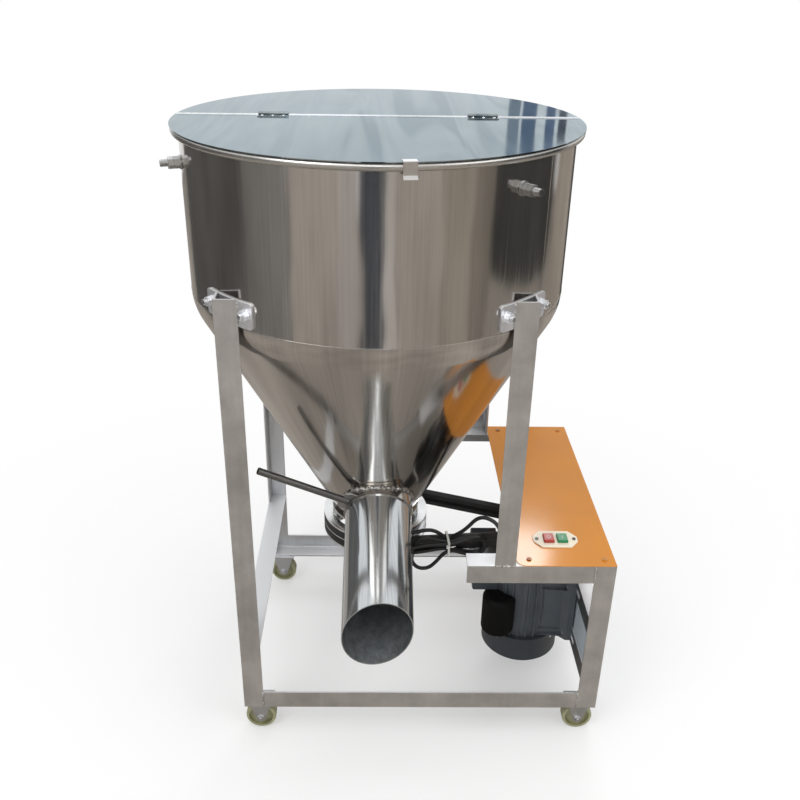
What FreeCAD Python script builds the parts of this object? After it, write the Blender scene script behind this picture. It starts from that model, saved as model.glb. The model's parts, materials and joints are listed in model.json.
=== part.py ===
import FreeCAD, Part

import math
import os

# Vertical screw feed mixer: a conical stainless hopper with a central lifting screw, belt drive,
# side-mounted motor, slide-gate spout and a welded angle-iron frame on four rigid castors.
# Millimetres. The origin is on the floor under the hopper axis, +Z up, the spout points to -Y.

V = FreeCAD.Vector
UP = V(0, 0, 1)

# Angle iron and frame
angle_w = 40.0
angle_t = 4.0
angle_root = 5.0
angle_toe = 1.5
frame_half_x = 269.0
frame_half_y = 275.0
stand_right = 463.4
frame_bottom = 76.0
leg_top = 978.0
table_top = 442.0
table_beam_left = 177.0
left_rail_top = 241.0

# Castors
wheel_r = 31.5
wheel_width = 24.0
wheel_side_gap = 1.0
castor_inset = 30.0
castor_plate_t = 3.0
castor_plate_half = 28.0
castor_plate_depth = 34.0
fork_t = 3.0
axle_r = 4.0
running_gap = 0.05

# Hopper
wall_t = 2.0
hopper_r = 352.3
cone_half_angle = 28.3
cone_corner_z = 902.7
knuckle_r = 90.0
floor_plate_z = 404.0
floor_plate_t = 4.0
floor_plate_overhang = 8.0
bead_r = 6.5
seat_gap = 0.3

# Lid
lid_overhang = 14.2
lid_t = 1.5
lid_top = 1222.8
lid_split_y = 20.0
lid_split_gap = 1.0
hinge_x = 189.0
hinge_length = 54.0
hinge_leaf = 24.0
hinge_leaf_t = 1.2
hinge_knuckle_r = 3.0
hinge_pin_r = 1.5
clip_azimuth = -82.6
clip_width = 21.5
clip_t = 1.2
clip_drop = 19.8
clip_gap = 0.2
clip_lip = 5.0
clip_seat = 14.0

# Leg saddles and their bolts
saddle_t = 4.0
saddle_bottom = 930.0
saddle_top = 976.0
saddle_corner_r = 7.0
saddle_half_angle = 9.7
saddle_bolt_angle = 7.4
saddle_bolt_z = 956.0
bolt_r = 5.0
bolt_head_r = 8.5
bolt_head_t = 4.0
bolt_nut_w = 16.0
bolt_nut_t = 8.0
bolt_tip = 6.0
washer_r = 10.0
washer_t = 2.0

# Guide tube and its three arms
guide_r = 82.5
guide_wall = 2.0
guide_bottom = 520.0
guide_drop = 46.8
arm_drop = 12.0
arm_r = 6.0
arm_reach = 35.7
arm_nut_w = 18.0
arm_nut_t = 9.5
arm_azimuths = (-50.0, -162.0, 74.0)

# Screw
shaft_r = 15.0
shaft_bottom = 338.0
shaft_rise = 12.0
flight_r = 72.0
flight_pitch = 130.0
flight_t = 4.0
flight_bottom = 420.0
flight_drop = 8.5

# Belt drive
pulley_r = 113.0
pulley_bottom = 346.0
pulley_height = 44.0
pulley_rim_inner = 93.0
pulley_web_t = 10.0
pulley_hub_r = 30.0
pulley_hub_height = 22.0
belt_top_w = 17.0
belt_bottom_w = 9.0
belt_height = 11.0
belt_pitch = 19.0
groove_gap = 0.3
motor_pulley_r = 40.0
motor_pulley_height = 44.0

# Bearing under the hopper floor
bearing_flange_r = 62.0
bearing_flange_t = 10.0
bearing_boss_r = 42.0
bearing_height = 32.0
bearing_bolt_inset = 11.0
inner_ring_r = 21.0
seal_r = 24.0

# Spout and slide gate
spout_r = 66.5
spout_x = 6.0
spout_slope = 22.6
stub_r = 68.0
gate_standoff = 19.5
gate_z = 474.0
spout_run = 245.0
mouth_skew = 7.0
flange_r = 70.0
flange_t = 3.0
gate_t = 2.0
gate_gap = 0.3
gate_angle = 31.0
rod_r = 7.0
rod_wall = 2.0
rod_length = 197.0
rod_start = 71.0

# Motor
motor_y = -42.0
motor_boss_r = 30.0
shaft_height = 100.0
rail_depth = 29.0
motor_plate_t = 5.0
motor_plate_half = 235.0
motor_plate_margin = 0.5
motor_bolt_low = 140.0
motor_bolt_high = 265.0
cowl_r = 85.0
cowl_bottom = 58.0
cowl_top = 124.0
cowl_t = 2.0
stator_r = 72.0
fin_r = 79.0
fin_count = 28
stator_top = 300.0
shield_top = 332.0
motor_shaft_r = 14.0
foot_bottom = 126.0
foot_top = 298.0
foot_half = 86.0
foot_t = 12.0
slot_spread = 70.0
slot_length = 74.0
motor_bolt_r = 5.0
box_reach = 121.0
box_half = 50.0
box_lid_t = 8.0
box_gland_x = 30.0
box_gland_z = 290.0
capacitor_r = 36.0
capacitor_offset = 62.0
capacitor_top = 236.0

# Cover, switch and cords
cover_left = frame_half_x + 2.0
cover_t = 1.5
cover_corner_r = 22.0
switch_x = 358.5
switch_y = -192.0
cover_screw_x = frame_half_x + 28.0
cover_screw_inset = 20.0
cover_screw_r = 2.5
cover_screw_head_r = 5.0
plate_screw_x = 37.0
plate_screw_r = 2.0
plate_screw_head_r = 3.6
screw_depth = 8.0
switch_plate_w = 88.0
switch_plate_d = 53.0
switch_plate_t = 2.5
switch_box_w = 78.0
switch_box_d = 42.0
switch_box_depth = 48.0
switch_wall = 2.0
button_w = 20.0
button_d = 25.0
button_rise = 5.5
button_gap = 0.4
button_offset = 13.5
cord_r = 4.0
gland_r = 8.0
gland_length = 14.0
gland_upper_z = 422.0
gland_lower_z = 404.0

# Bundle of supply cord tied to the belts
layer_pitch = 8.6
layers = 3
hank_gap = 0.5
hank_left = 24.0
hank_middle = 152.0
hank_right = 236.0
hank_waist = 14.0
hank_lobe = 29.0
tie_t = 1.2
tie_width = 4.5
plug_r = 17.0
plug_length = 20.0
plug_neck = 14.0
plug_pin_r = 2.4
plug_pin_length = 19.0
plug_pin_offset = 9.5

# Values that follow from the ones above
lid_r = hopper_r + lid_overhang
clip_bottom = lid_top - clip_drop
guide_top = lid_top - guide_drop
arm_z = guide_top - arm_drop
arm_tip = hopper_r + arm_reach
shaft_top = guide_top + shaft_rise
flight_height = guide_top - flight_drop - flight_bottom
lid_bottom = lid_top - lid_t
rim_top = lid_bottom - seat_gap
slope = math.tan(math.radians(cone_half_angle))
foot_plane_x = stand_right - rail_depth
motor_x = foot_plane_x - shaft_height
hinge_z = lid_top + hinge_knuckle_r
floor_top = floor_plate_z + floor_plate_t
cone_foot_r = hopper_r - (cone_corner_z - floor_top) * slope
floor_plate_r = cone_foot_r + floor_plate_overhang
gate_y = -(hopper_r - (cone_corner_z - gate_z) * slope) - gate_standoff
spout_mouth_y = gate_y - spout_run
bearing_bolt_r = bearing_flange_r - bearing_bolt_inset
drive_z = pulley_bottom + pulley_height / 2
hank_thick = layers * layer_pitch


def cone_r(z):
    """Outer radius of the cone at a height."""
    return hopper_r - (cone_corner_z - z) * slope


def cylinder(radius, bottom, top, x=0.0, y=0.0):
    """Upright cylinder between two heights."""
    return Part.makeCylinder(radius, top - bottom, V(x, y, bottom))


def ring(outer, inner, bottom, top, x=0.0, y=0.0):
    """Upright ring between two heights."""
    return cylinder(outer, bottom, top, x, y).cut(cylinder(inner, bottom, top, x, y))


def block(low, high):
    """Box between its lowest and highest corners."""
    return Part.makeBox(high[0] - low[0], high[1] - low[1], high[2] - low[2], V(*low))


def outline(points):
    """Face of a closed polygon."""
    corners = [V(*p) for p in points]
    return Part.Face(Part.makePolygon(corners + [corners[0]]))


def turned(shape, degrees, centre=V(0, 0, 0), axis=UP):
    """Copy turned about an axis."""
    result = shape.copy()
    result.rotate(centre, axis, degrees)
    return result


def moved(shape, x=0.0, y=0.0, z=0.0):
    """Copy moved by a vector."""
    result = shape.copy()
    result.translate(V(x, y, z))
    return result


def largest(shape):
    """Largest solid of a shape."""
    return max(shape.Solids, key=lambda s: s.Volume)


def hexagon(across_flats, height, base, axis=UP):
    """Hexagonal prism for a nut or a bolt head."""
    corner = across_flats / math.sqrt(3.0)
    points = [(corner * math.cos(math.radians(60 * i + 30)), corner * math.sin(math.radians(60 * i + 30)), 0)
              for i in range(6)]
    prism = outline(points).extrude(V(0, 0, height))
    prism.Placement = FreeCAD.Placement(base, FreeCAD.Rotation(UP, axis))
    return prism


def half_space(point, normal):
    """Large box on the side of a plane that the normal points to."""
    size = 2000.0
    cutter = Part.makeBox(size, size, size, V(-size / 2, -size / 2, 0))
    cutter.Placement = FreeCAD.Placement(point, FreeCAD.Rotation(UP, normal))
    return cutter


def save(name, shape):
    """Write one node."""
    os.makedirs("parts", exist_ok=True)
    shape.exportStep("parts/" + name + ".step")


def angle_bar(corner, flange_a, flange_b, along, length, width_b=None):
    """Rolled angle: outer corner, two flange directions and the direction it runs in."""
    wide = width_b or angle_w
    t, root, toe = angle_t, angle_root, angle_toe

    def at(a, b):
        return V(*corner) + V(*flange_a) * a + V(*flange_b) * b

    def bow(centre_a, centre_b, radius, start, end, middle):
        turns = [math.radians(degrees) for degrees in (start, middle, end)]
        spots = [at(centre_a + radius * math.cos(turn), centre_b + radius * math.sin(turn)) for turn in turns]
        return Part.Arc(*spots).toShape()

    edges = [
        Part.LineSegment(at(0, 0), at(angle_w, 0)).toShape(),
        Part.LineSegment(at(angle_w, 0), at(angle_w, t - toe)).toShape(),
        bow(angle_w - toe, t - toe, toe, 0, 90, 45),
        Part.LineSegment(at(angle_w - toe, t), at(t + root, t)).toShape(),
        bow(t + root, t + root, root, 270, 180, 225),
        Part.LineSegment(at(t, t + root), at(t, wide - toe)).toShape(),
        bow(t - toe, wide - toe, toe, 0, 90, 45),
        Part.LineSegment(at(t - toe, wide), at(0, wide)).toShape(),
        Part.LineSegment(at(0, wide), at(0, 0)).toShape(),
    ]
    return Part.Face(Part.Wire(edges)).extrude(V(*along) * length)


def frame_members():
    """Welded angle-iron frame as its separate members, each trimmed to the ones before it."""
    hx, hy, right = frame_half_x, frame_half_y, stand_right
    trim = cylinder(hopper_r + saddle_t, saddle_bottom - 60, leg_top + 20)
    members = {}

    def add(name, bar):
        for other in members.values():
            if bar.BoundBox.intersect(other.BoundBox):
                bar = bar.cut(other)
        members[name] = largest(bar)

    for side, sy in (("front", -1), ("rear", 1)):
        inward = (0, -sy, 0)
        left_leg = angle_bar((-hx, sy * hy, frame_bottom), (1, 0, 0), inward, (0, 0, 1),
                             leg_top - frame_bottom)
        add("frame_leg_left_" + side, left_leg.cut(trim))
        stand = angle_bar((right, sy * hy, frame_bottom), (-1, 0, 0), inward, (0, 0, 1),
                          table_top - frame_bottom)
        mitre_point = V(right, sy * hy, table_top)
        add("stand_leg_" + side, stand.cut(half_space(mitre_point, V(-1, 0, 1))))
        beam = angle_bar((table_beam_left, sy * hy, table_top), inward, (0, 0, -1), (1, 0, 0),
                         right - table_beam_left)
        screw_holes = [cylinder(cover_screw_r + running_gap, table_top - angle_w / 2, table_top + 1, x, y)
                       for x, y in cover_screw_places()]
        add("table_beam_" + side, beam.cut([half_space(mitre_point, V(1, 0, -1))] + screw_holes))
        right_leg = angle_bar((hx, sy * hy, table_top), (-1, 0, 0), inward, (0, 0, 1), leg_top - table_top)
        add("frame_leg_right_" + side, right_leg.cut(trim))
        rail = angle_bar((-hx + angle_t, sy * hy, frame_bottom), inward, (0, 0, 1), (1, 0, 0),
                         right + hx - 2 * angle_t)
        add("bottom_rail_" + side, rail)
    add("left_side_rail", angle_bar((-hx, -hy + angle_t, left_rail_top), (1, 0, 0), (0, 0, -1), (0, 1, 0),
                                    2 * (hy - angle_t)))
    add("table_beam_right", angle_bar((right, -hy + angle_t, table_top), (-1, 0, 0), (0, 0, -1), (0, 1, 0),
                                      2 * (hy - angle_t)))
    rails = []
    for middle, flange in ((motor_bolt_low, 1), (motor_bolt_high, -1)):
        rail = angle_bar((right - rail_depth, -hy + angle_t, middle - flange * angle_w / 2), (0, 0, flange),
                         (1, 0, 0), (0, 1, 0), 2 * (hy - angle_t), rail_depth)
        rail = rail.cut(motor_slots())
        for other in members.values():
            if rail.BoundBox.intersect(other.BoundBox):
                rail = rail.cut(other)
        rails.append(largest(rail))
    members["motor_rails"] = Part.makeCompound(rails)
    return members


def motor_slots():
    """Adjusting slots for the four foot bolts, through the rails and the plate behind them."""
    x0 = foot_plane_x - 1
    depth = motor_plate_t + angle_t + 2
    half = slot_length / 2
    radius = motor_bolt_r + 0.5
    slots = []
    for z in motor_bolt_heights():
        for y in motor_bolt_rows():
            slot = block((x0, y - half, z - radius), (x0 + depth, y + half, z + radius))
            ends = [Part.makeCylinder(radius, depth, V(x0, y + end * half, z), V(1, 0, 0)) for end in (-1, 1)]
            slots.append(slot.fuse(ends))
    return slots


def motor_plate():
    """Slotted plate clamped behind the flanges of the two motor rails."""
    x0 = foot_plane_x + angle_t
    inset = angle_w / 2 - angle_t - angle_root - motor_plate_margin
    plate = block((x0, -motor_plate_half, motor_bolt_low - inset),
                  (x0 + motor_plate_t, motor_plate_half, motor_bolt_high + inset))
    return plate.cut(motor_slots())


def motor_bolt_heights():
    """Heights of the foot bolts, at the middles of the two rails."""
    return (motor_bolt_low, motor_bolt_high)


def motor_bolt_rows():
    """Side positions of the foot bolts."""
    return (motor_y - slot_spread, motor_y + slot_spread)


def castor_centres():
    """Castor centres under the four frame corners."""
    left = -frame_half_x + castor_inset
    right = stand_right - castor_inset
    side = frame_half_y - castor_inset
    return {"front_left": (left, -side), "rear_left": (left, side),
            "front_right": (right, -side), "rear_right": (right, side)}


def castor_fork(x, y):
    """Pressed fork: top plate and two tapered cheeks, with its axle bolt and nut."""
    top = frame_bottom
    cheek_y = wheel_width / 2 + wheel_side_gap
    plate = block((x - castor_plate_half, y - castor_plate_depth / 2, top - castor_plate_t),
                  (x + castor_plate_half, y + castor_plate_depth / 2, top))
    fork = plate
    foot = axle_r + 7.0
    for side in (-1, 1):
        start = y + side * cheek_y
        cheek_half = castor_plate_half - 4
        seat = top - castor_plate_t
        corners = [(x - cheek_half, start, seat), (x + cheek_half, start, seat), (x + foot, start, wheel_r),
                   (x - foot, start, wheel_r)]
        cheek = outline(corners).extrude(V(0, side * fork_t, 0))
        rounding = Part.makeCylinder(foot, fork_t, V(x, start, wheel_r), V(0, side, 0))
        fork = fork.fuse(cheek).fuse(rounding)
    bolt_half = cheek_y + fork_t + 8.0
    bolt = Part.makeCylinder(axle_r, 2 * bolt_half, V(x, y - bolt_half, wheel_r), V(0, 1, 0))
    fork = fork.cut(bolt).removeSplitter()
    head = hexagon(13.0, 5.0, V(x, y - cheek_y - fork_t, wheel_r), V(0, -1, 0))
    nut = hexagon(13.0, 6.5, V(x, y + cheek_y + fork_t, wheel_r), V(0, 1, 0))
    return [fork, bolt.fuse([head, nut]).removeSplitter()]


def castor_wheel(x, y):
    """Nylon wheel: crowned tread, recessed sides and a hub."""
    half = wheel_width / 2
    rim, web, hub = wheel_r - 6.0, 4.0, 10.0
    bore = axle_r + running_gap
    points = [(bore, -half - 0.7), (hub, -half - 0.7), (hub, -web), (rim, -web), (rim, -half),
              (wheel_r - 1.5, -half), (wheel_r, -half + 3), (wheel_r, half - 3), (wheel_r - 1.5, half),
              (rim, half), (rim, web), (hub, web), (hub, half + 0.7), (bore, half + 0.7)]
    face = outline([(x + r, y + w, wheel_r) for r, w in points])
    return face.revolve(V(x, y, wheel_r), V(0, 1, 0), 360)


def knuckle():
    """Tangent points of the rounded corner between wall and cone, outer surface."""
    half_turn = math.radians(cone_half_angle) / 2
    reach = knuckle_r * math.tan(half_turn)
    high = cone_corner_z + reach
    low = cone_corner_z - reach * math.cos(2 * half_turn)
    return high, low


def hopper_outline(offset):
    """Edges of the wall line from the floor plate to the rim, moved inwards by an offset."""
    high, low = knuckle()
    angle = math.radians(cone_half_angle)
    centre = V(hopper_r - knuckle_r, 0, high)
    radius = knuckle_r - offset
    bottom_r = cone_r(floor_top) - offset / math.cos(angle)
    start = V(bottom_r, 0, floor_top)
    join = centre + V(radius * math.cos(angle), 0, -radius * math.sin(angle))
    bend = centre + V(radius * math.cos(angle / 2), 0, -radius * math.sin(angle / 2))
    top_of_bend = centre + V(radius, 0, 0)
    rim = V(hopper_r - offset, 0, rim_top)
    edges = [Part.LineSegment(start, join).toShape(), Part.Arc(join, bend, top_of_bend).toShape(),
             Part.LineSegment(top_of_bend, rim).toShape()]
    return edges, start, rim


def hopper_body():
    """Solid of revolution inside the outer surface, for trimming what meets the hopper."""
    edges, start, rim = hopper_outline(0.0)
    high, low = V(0, 0, rim.z), V(0, 0, start.z)
    closing = [Part.LineSegment(rim, high).toShape(), Part.LineSegment(high, low).toShape(),
               Part.LineSegment(low, start).toShape()]
    return Part.Face(Part.Wire(edges + closing)).revolve(V(0, 0, 0), UP, 360)


def hopper_shell():
    """Rolled wall, knuckle, cone and rolled rim, with the holes for bolts, arms and spout."""
    outer, outer_start, outer_rim = hopper_outline(0.0)
    inner, inner_start, inner_rim = hopper_outline(wall_t)
    foot = Part.LineSegment(inner_start, outer_start).toShape()
    top = Part.LineSegment(outer_rim, inner_rim).toShape()
    shell = Part.Face(Part.Wire([foot] + outer + [top] + inner[::-1])).revolve(V(0, 0, 0), UP, 360)
    bead = Part.makeTorus(hopper_r + bead_r, bead_r, V(0, 0, rim_top - bead_r))
    shell = shell.fuse(bead)
    holes = [radial_pin(a, saddle_bolt_z, bolt_r + running_gap) for a in saddle_bolt_azimuths()]
    holes += [radial_pin(a, arm_z, arm_r + running_gap) for a in arm_azimuths]
    holes.append(along_spout(Part.makeCylinder(spout_r - wall_t, 160, V(0, 0, -160))))
    return shell.cut(holes).removeSplitter()


def radial_pin(azimuth, z, radius, start=None, end=None):
    """Cylinder that points outwards from the hopper axis; by default one that crosses the wall."""
    start = hopper_r - 50 if start is None else start
    end = hopper_r + 50 if end is None else end
    direction = V(math.cos(math.radians(azimuth)), math.sin(math.radians(azimuth)), 0)
    return Part.makeCylinder(radius, end - start, direction * start + V(0, 0, z), direction)


def radial_nut(azimuth, z, across_flats, start, height):
    """Hexagon that points outwards from the hopper axis."""
    direction = V(math.cos(math.radians(azimuth)), math.sin(math.radians(azimuth)), 0)
    return hexagon(across_flats, height, direction * start + V(0, 0, z), direction)


def leg_azimuths():
    """Directions of the four legs from the hopper axis."""
    corner = math.degrees(math.atan2(frame_half_y, frame_half_x))
    return (-corner, corner, 180 - corner, corner - 180)


def saddle_bolt_azimuths():
    """Directions of the eight saddle bolts."""
    return [a + side * saddle_bolt_angle for a in leg_azimuths() for side in (-1, 1)]


def saddles():
    """Curved plates between the hopper wall and the leg tops, one per leg."""
    plates = []
    for azimuth in leg_azimuths():
        flat = outline([(hopper_r, 0, saddle_bottom), (hopper_r + saddle_t, 0, saddle_bottom),
                        (hopper_r + saddle_t, 0, saddle_top), (hopper_r, 0, saddle_top)])
        plate = turned(flat, azimuth - saddle_half_angle).revolve(V(0, 0, 0), UP, 2 * saddle_half_angle)
        corners = [e for e in plate.Edges if abs(e.Length - saddle_t) < 0.01]
        plate = plate.makeFillet(saddle_corner_r, corners)
        for side in (-1, 1):
            hole = radial_pin(azimuth + side * saddle_bolt_angle, saddle_bolt_z, bolt_r + running_gap)
            plate = plate.cut(hole)
        plates.append(plate)
    return Part.makeCompound(plates)


def saddle_bolts():
    """Bolts with a low head inside the hopper and a washer and nut outside."""
    bolts = []
    inside = hopper_r - wall_t - 0.3
    outside = hopper_r + saddle_t + 0.1
    nut_start = outside + washer_t
    for azimuth in saddle_bolt_azimuths():
        shank = radial_pin(azimuth, saddle_bolt_z, bolt_r, inside, nut_start + bolt_nut_t + bolt_tip)
        head = radial_pin(azimuth, saddle_bolt_z, bolt_head_r, inside - bolt_head_t, inside)
        washer = radial_pin(azimuth, saddle_bolt_z, washer_r, outside, nut_start)
        nut = radial_nut(azimuth, saddle_bolt_z, bolt_nut_w, nut_start, bolt_nut_t)
        bolts.append(shank.fuse([head, washer, nut]).removeSplitter())
    return bolts


def lid_half(rear):
    """One half of the flat lid disc."""
    disc = cylinder(lid_r, lid_bottom, lid_top)
    side = 1 if rear else -1
    edge = V(0, lid_split_y + side * lid_split_gap / 2, lid_bottom)
    return disc.cut(half_space(edge, V(0, -side, 0)))


def hinge_leaves(moving):
    """Leaves with their knuckles; the fixed set also holds the two pins."""
    solids = []
    side = -1 if moving else 1
    third = hinge_length / 3
    clearance = 0.3
    spans = [(-third / 2 + clearance, third / 2 - clearance)]
    if not moving:
        spans = [(-hinge_length / 2, -third / 2), (third / 2, hinge_length / 2)]
    for x in (-hinge_x, hinge_x):
        y_near = lid_split_y + side * (hinge_knuckle_r + clearance)
        y_far = lid_split_y + side * hinge_leaf
        leaf = block((x - hinge_length / 2, min(y_near, y_far), lid_top),
                     (x + hinge_length / 2, max(y_near, y_far), lid_top + hinge_leaf_t))
        for start, end in spans:
            seat = V(x + start, lid_split_y, hinge_z)
            barrel = Part.makeCylinder(hinge_knuckle_r, end - start, seat, V(1, 0, 0))
            tongue = block((x + start, min(lid_split_y, y_near), lid_top),
                           (x + end, max(lid_split_y, y_near), lid_top + hinge_leaf_t))
            leaf = leaf.fuse(barrel).fuse(tongue)
        pin_r = hinge_pin_r + (running_gap if moving else 0)
        pin_start = V(x - hinge_length / 2, lid_split_y, hinge_z)
        pin = Part.makeCylinder(pin_r, hinge_length, pin_start, V(1, 0, 0))
        solids.append(leaf.cut(pin).removeSplitter())
        if not moving:
            solids.append(pin)
    return Part.makeCompound(solids)


def lid_clip():
    """Bent strip on the lid's front edge that hooks over the rim bead."""
    r_in = lid_r + clip_gap
    r_out = r_in + clip_t
    z_top = lid_top + clip_t
    seat = lid_r - clip_seat
    lip_z = clip_bottom - clip_lip
    points = [(seat, lid_top), (r_in, lid_top), (r_in, clip_bottom), (r_in + clip_lip, lip_z),
              (r_out + clip_lip, lip_z + 0.4), (r_out, clip_bottom + 0.6), (r_out, z_top - 1),
              (r_out - 1, z_top), (seat, z_top)]
    strip = outline([(r, -clip_width / 2, z) for r, z in points]).extrude(V(0, clip_width, 0))
    return turned(strip, clip_azimuth)


def guide_tube():
    """Open tube that the screw lifts the feed through."""
    return ring(guide_r, guide_r - guide_wall, guide_bottom, guide_top)


def guide_arms():
    """Three threaded arms from the guide tube through the wall, each with its nuts."""
    solids = []
    tube = cylinder(guide_r, guide_bottom, guide_top)
    inside = hopper_r - wall_t - 0.5
    outside = hopper_r + 0.2
    first_nut = outside + washer_t + 0.5
    second_nut = first_nut + arm_nut_t + 0.5
    for azimuth in arm_azimuths:
        rod = radial_pin(azimuth, arm_z, arm_r, guide_r - wall_t, arm_tip).cut(tube)
        pieces = [radial_pin(azimuth, arm_z, 2 * arm_r, outside, first_nut),
                  radial_nut(azimuth, arm_z, arm_nut_w, first_nut, arm_nut_t),
                  radial_nut(azimuth, arm_z, arm_nut_w, second_nut, arm_nut_t),
                  radial_nut(azimuth, arm_z, arm_nut_w, inside - arm_nut_t, arm_nut_t)]
        solids.append(rod.fuse(pieces).removeSplitter())
    return Part.makeCompound(solids)


def screw_flight():
    """Helicoid blade from below the guide tube to just above it."""
    helix = Part.makeHelix(flight_pitch, flight_height, flight_r)
    helix.translate(V(0, 0, flight_bottom))
    low, high = flight_bottom, flight_bottom + flight_t
    corners = [V(shaft_r, 0, low), V(flight_r, 0, low), V(flight_r, 0, high), V(shaft_r, 0, high)]
    profile = Part.makePolygon(corners + corners[:1])
    sweep = Part.BRepOffsetAPI.MakePipeShell(Part.Wire(helix.Edges))
    sweep.setFrenetMode(True)
    sweep.add(profile)
    sweep.build()
    sweep.makeSolid()
    return sweep.shape().cut(cylinder(shaft_r, flight_bottom - 20, flight_bottom + flight_height + 20))


def screw_shaft():
    """Screw shaft with a retaining washer and bolt under the pulley."""
    shaft = cylinder(shaft_r, shaft_bottom + 6, shaft_top)
    washer = cylinder(shaft_r + 8, shaft_bottom + 2, shaft_bottom + 6)
    head = hexagon(17.0, 7.0, V(0, 0, shaft_bottom - 5))
    return shaft.fuse([washer, head]).removeSplitter()


def pulley(radius, rim_inner, hub_r, hub_height, bore, height, web):
    """Two-groove pulley blank with its grooves, standing on height zero."""
    profile = [(bore, 0), (radius, 0), (radius, height), (rim_inner, height), (rim_inner, web),
               (hub_r, web), (hub_r, hub_height), (bore, hub_height)]
    body = outline([(r, 0, z) for r, z in profile]).revolve(V(0, 0, 0), UP, 360)
    deep = belt_height + 3.0
    for side in (-1, 1):
        z = height / 2 + side * belt_pitch / 2
        wide = belt_top_w / 2 + groove_gap
        narrow = belt_bottom_w / 2 + groove_gap - 1.0
        groove = outline([(radius + 0.1, 0, z - wide), (radius + 0.1, 0, z + wide),
                          (radius - deep, 0, z + narrow), (radius - deep, 0, z - narrow)])
        body = body.cut(groove.revolve(V(0, 0, 0), UP, 360))
    return body


def driven_pulley():
    """Dished pulley under the hopper floor: rim, low web with round windows, hub."""
    hub_bottom = shaft_bottom + 6
    body = moved(pulley(pulley_r, pulley_rim_inner, pulley_hub_r, pulley_hub_height, shaft_r, pulley_height,
                        pulley_web_t), z=pulley_bottom)
    boss = ring(pulley_hub_r, shaft_r, hub_bottom, pulley_bottom)
    window_r = (pulley_rim_inner - pulley_hub_r) / 2
    middle = (pulley_rim_inner + pulley_hub_r) / 2
    window = cylinder(window_r * 0.6, pulley_bottom - 1, pulley_bottom + pulley_web_t + 1, middle)
    windows = [turned(window, 60 * i) for i in range(6)]
    return body.fuse(boss).cut(windows).removeSplitter()


def motor_pulley():
    """Small two-groove pulley on the motor shaft."""
    body = pulley(motor_pulley_r, motor_pulley_r - 18, motor_shaft_r + 6, motor_pulley_height, motor_shaft_r,
                  motor_pulley_height, motor_pulley_height - 6)
    return moved(body, motor_x, motor_y, pulley_bottom)


def belt_section(radius, z):
    """Trapezoid of a belt, its back at a radius."""
    wide = belt_top_w / 2
    narrow = belt_bottom_w / 2
    return outline([(radius, 0, z - wide), (radius, 0, z + wide), (radius - belt_height, 0, z + narrow),
                    (radius - belt_height, 0, z - narrow)])


def belt_tangent():
    """Direction angles of the two tangent points and the length of the straight runs."""
    distance = math.hypot(motor_x, motor_y)
    bearing = math.degrees(math.atan2(motor_y, motor_x))
    spread = math.degrees(math.acos((pulley_r - motor_pulley_r) / distance))
    run = math.sqrt(distance ** 2 - (pulley_r - motor_pulley_r) ** 2)
    return bearing, spread, run


def drive_belts():
    """Two V-belts around both pulleys."""
    bearing, spread, run = belt_tangent()
    belts = []
    for side in (-1, 1):
        z = drive_z + side * belt_pitch / 2
        big = turned(belt_section(pulley_r, z), bearing + spread).revolve(V(0, 0, 0), UP, 360 - 2 * spread)
        small = turned(belt_section(motor_pulley_r, z), bearing - spread)
        small = moved(small, motor_x, motor_y).revolve(V(motor_x, motor_y, 0), UP, 2 * spread)
        runs = []
        for turn in (-1, 1):
            face = turned(belt_section(pulley_r, z), bearing + turn * spread)
            heading = math.radians(bearing + turn * spread - turn * 90)
            runs.append(face.extrude(V(math.cos(heading), math.sin(heading), 0) * run))
        belts.append(big.fuse([small] + runs).removeSplitter())
    return Part.makeCompound(belts)


def floor_plate():
    """Disc that closes the cone and carries the bearing."""
    plate = cylinder(floor_plate_r, floor_plate_z, floor_top).cut(cylinder(seal_r, floor_plate_z, floor_top))
    for i in range(4):
        hole = cylinder(bolt_r + running_gap, floor_plate_z, floor_top, bearing_bolt_r)
        plate = plate.cut(turned(hole, 45 + 90 * i))
    return plate


def shaft_seal():
    """Lip seal in the floor plate."""
    return ring(seal_r, shaft_r + running_gap, floor_plate_z, floor_top + 4)


def bearing_housing():
    """Round flanged cartridge under the floor plate."""
    bottom = floor_plate_z - bearing_height
    flange = cylinder(bearing_flange_r, floor_plate_z - bearing_flange_t, floor_plate_z)
    boss_height = bearing_height - bearing_flange_t
    boss = Part.makeCone(bearing_boss_r - 5, bearing_boss_r, boss_height, V(0, 0, bottom))
    body = flange.fuse(boss).cut(cylinder(inner_ring_r + 0.3, bottom - 1, floor_plate_z + 1))
    for i in range(4):
        hole = cylinder(bolt_r + running_gap, bottom, floor_plate_z + 1, bearing_bolt_r)
        body = body.cut(turned(hole, 45 + 90 * i))
    return body.removeSplitter()


def bearing_bolts():
    """Four bolts through the floor plate and the bearing flange."""
    bolts = []
    low = floor_plate_z - bearing_flange_t
    for i in range(4):
        shank = cylinder(bolt_r, low - bolt_nut_t - 1, floor_top, bearing_bolt_r)
        head = cylinder(bolt_head_r, floor_top, floor_top + bolt_head_t, bearing_bolt_r)
        nut = hexagon(bolt_nut_w, bolt_nut_t, V(bearing_bolt_r, 0, low - bolt_nut_t))
        bolts.append(turned(shank.fuse([head, nut]).removeSplitter(), 45 + 90 * i))
    return bolts


def bearing_inner_ring():
    """Inner ring of the bearing, locked to the shaft."""
    return ring(inner_ring_r, shaft_r, floor_plate_z - bearing_height - 1.0, floor_plate_z - 2)


def spout_frame():
    """Placement whose Z runs down the spout, with X across it."""
    tilt = math.radians(spout_slope)
    down = V(0, -math.cos(tilt), -math.sin(tilt))
    side = V(1, 0, 0)
    turn = FreeCAD.Rotation(side, down.cross(side), down, "ZXY")
    return FreeCAD.Placement(V(spout_x, gate_y, gate_z), turn)


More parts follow.
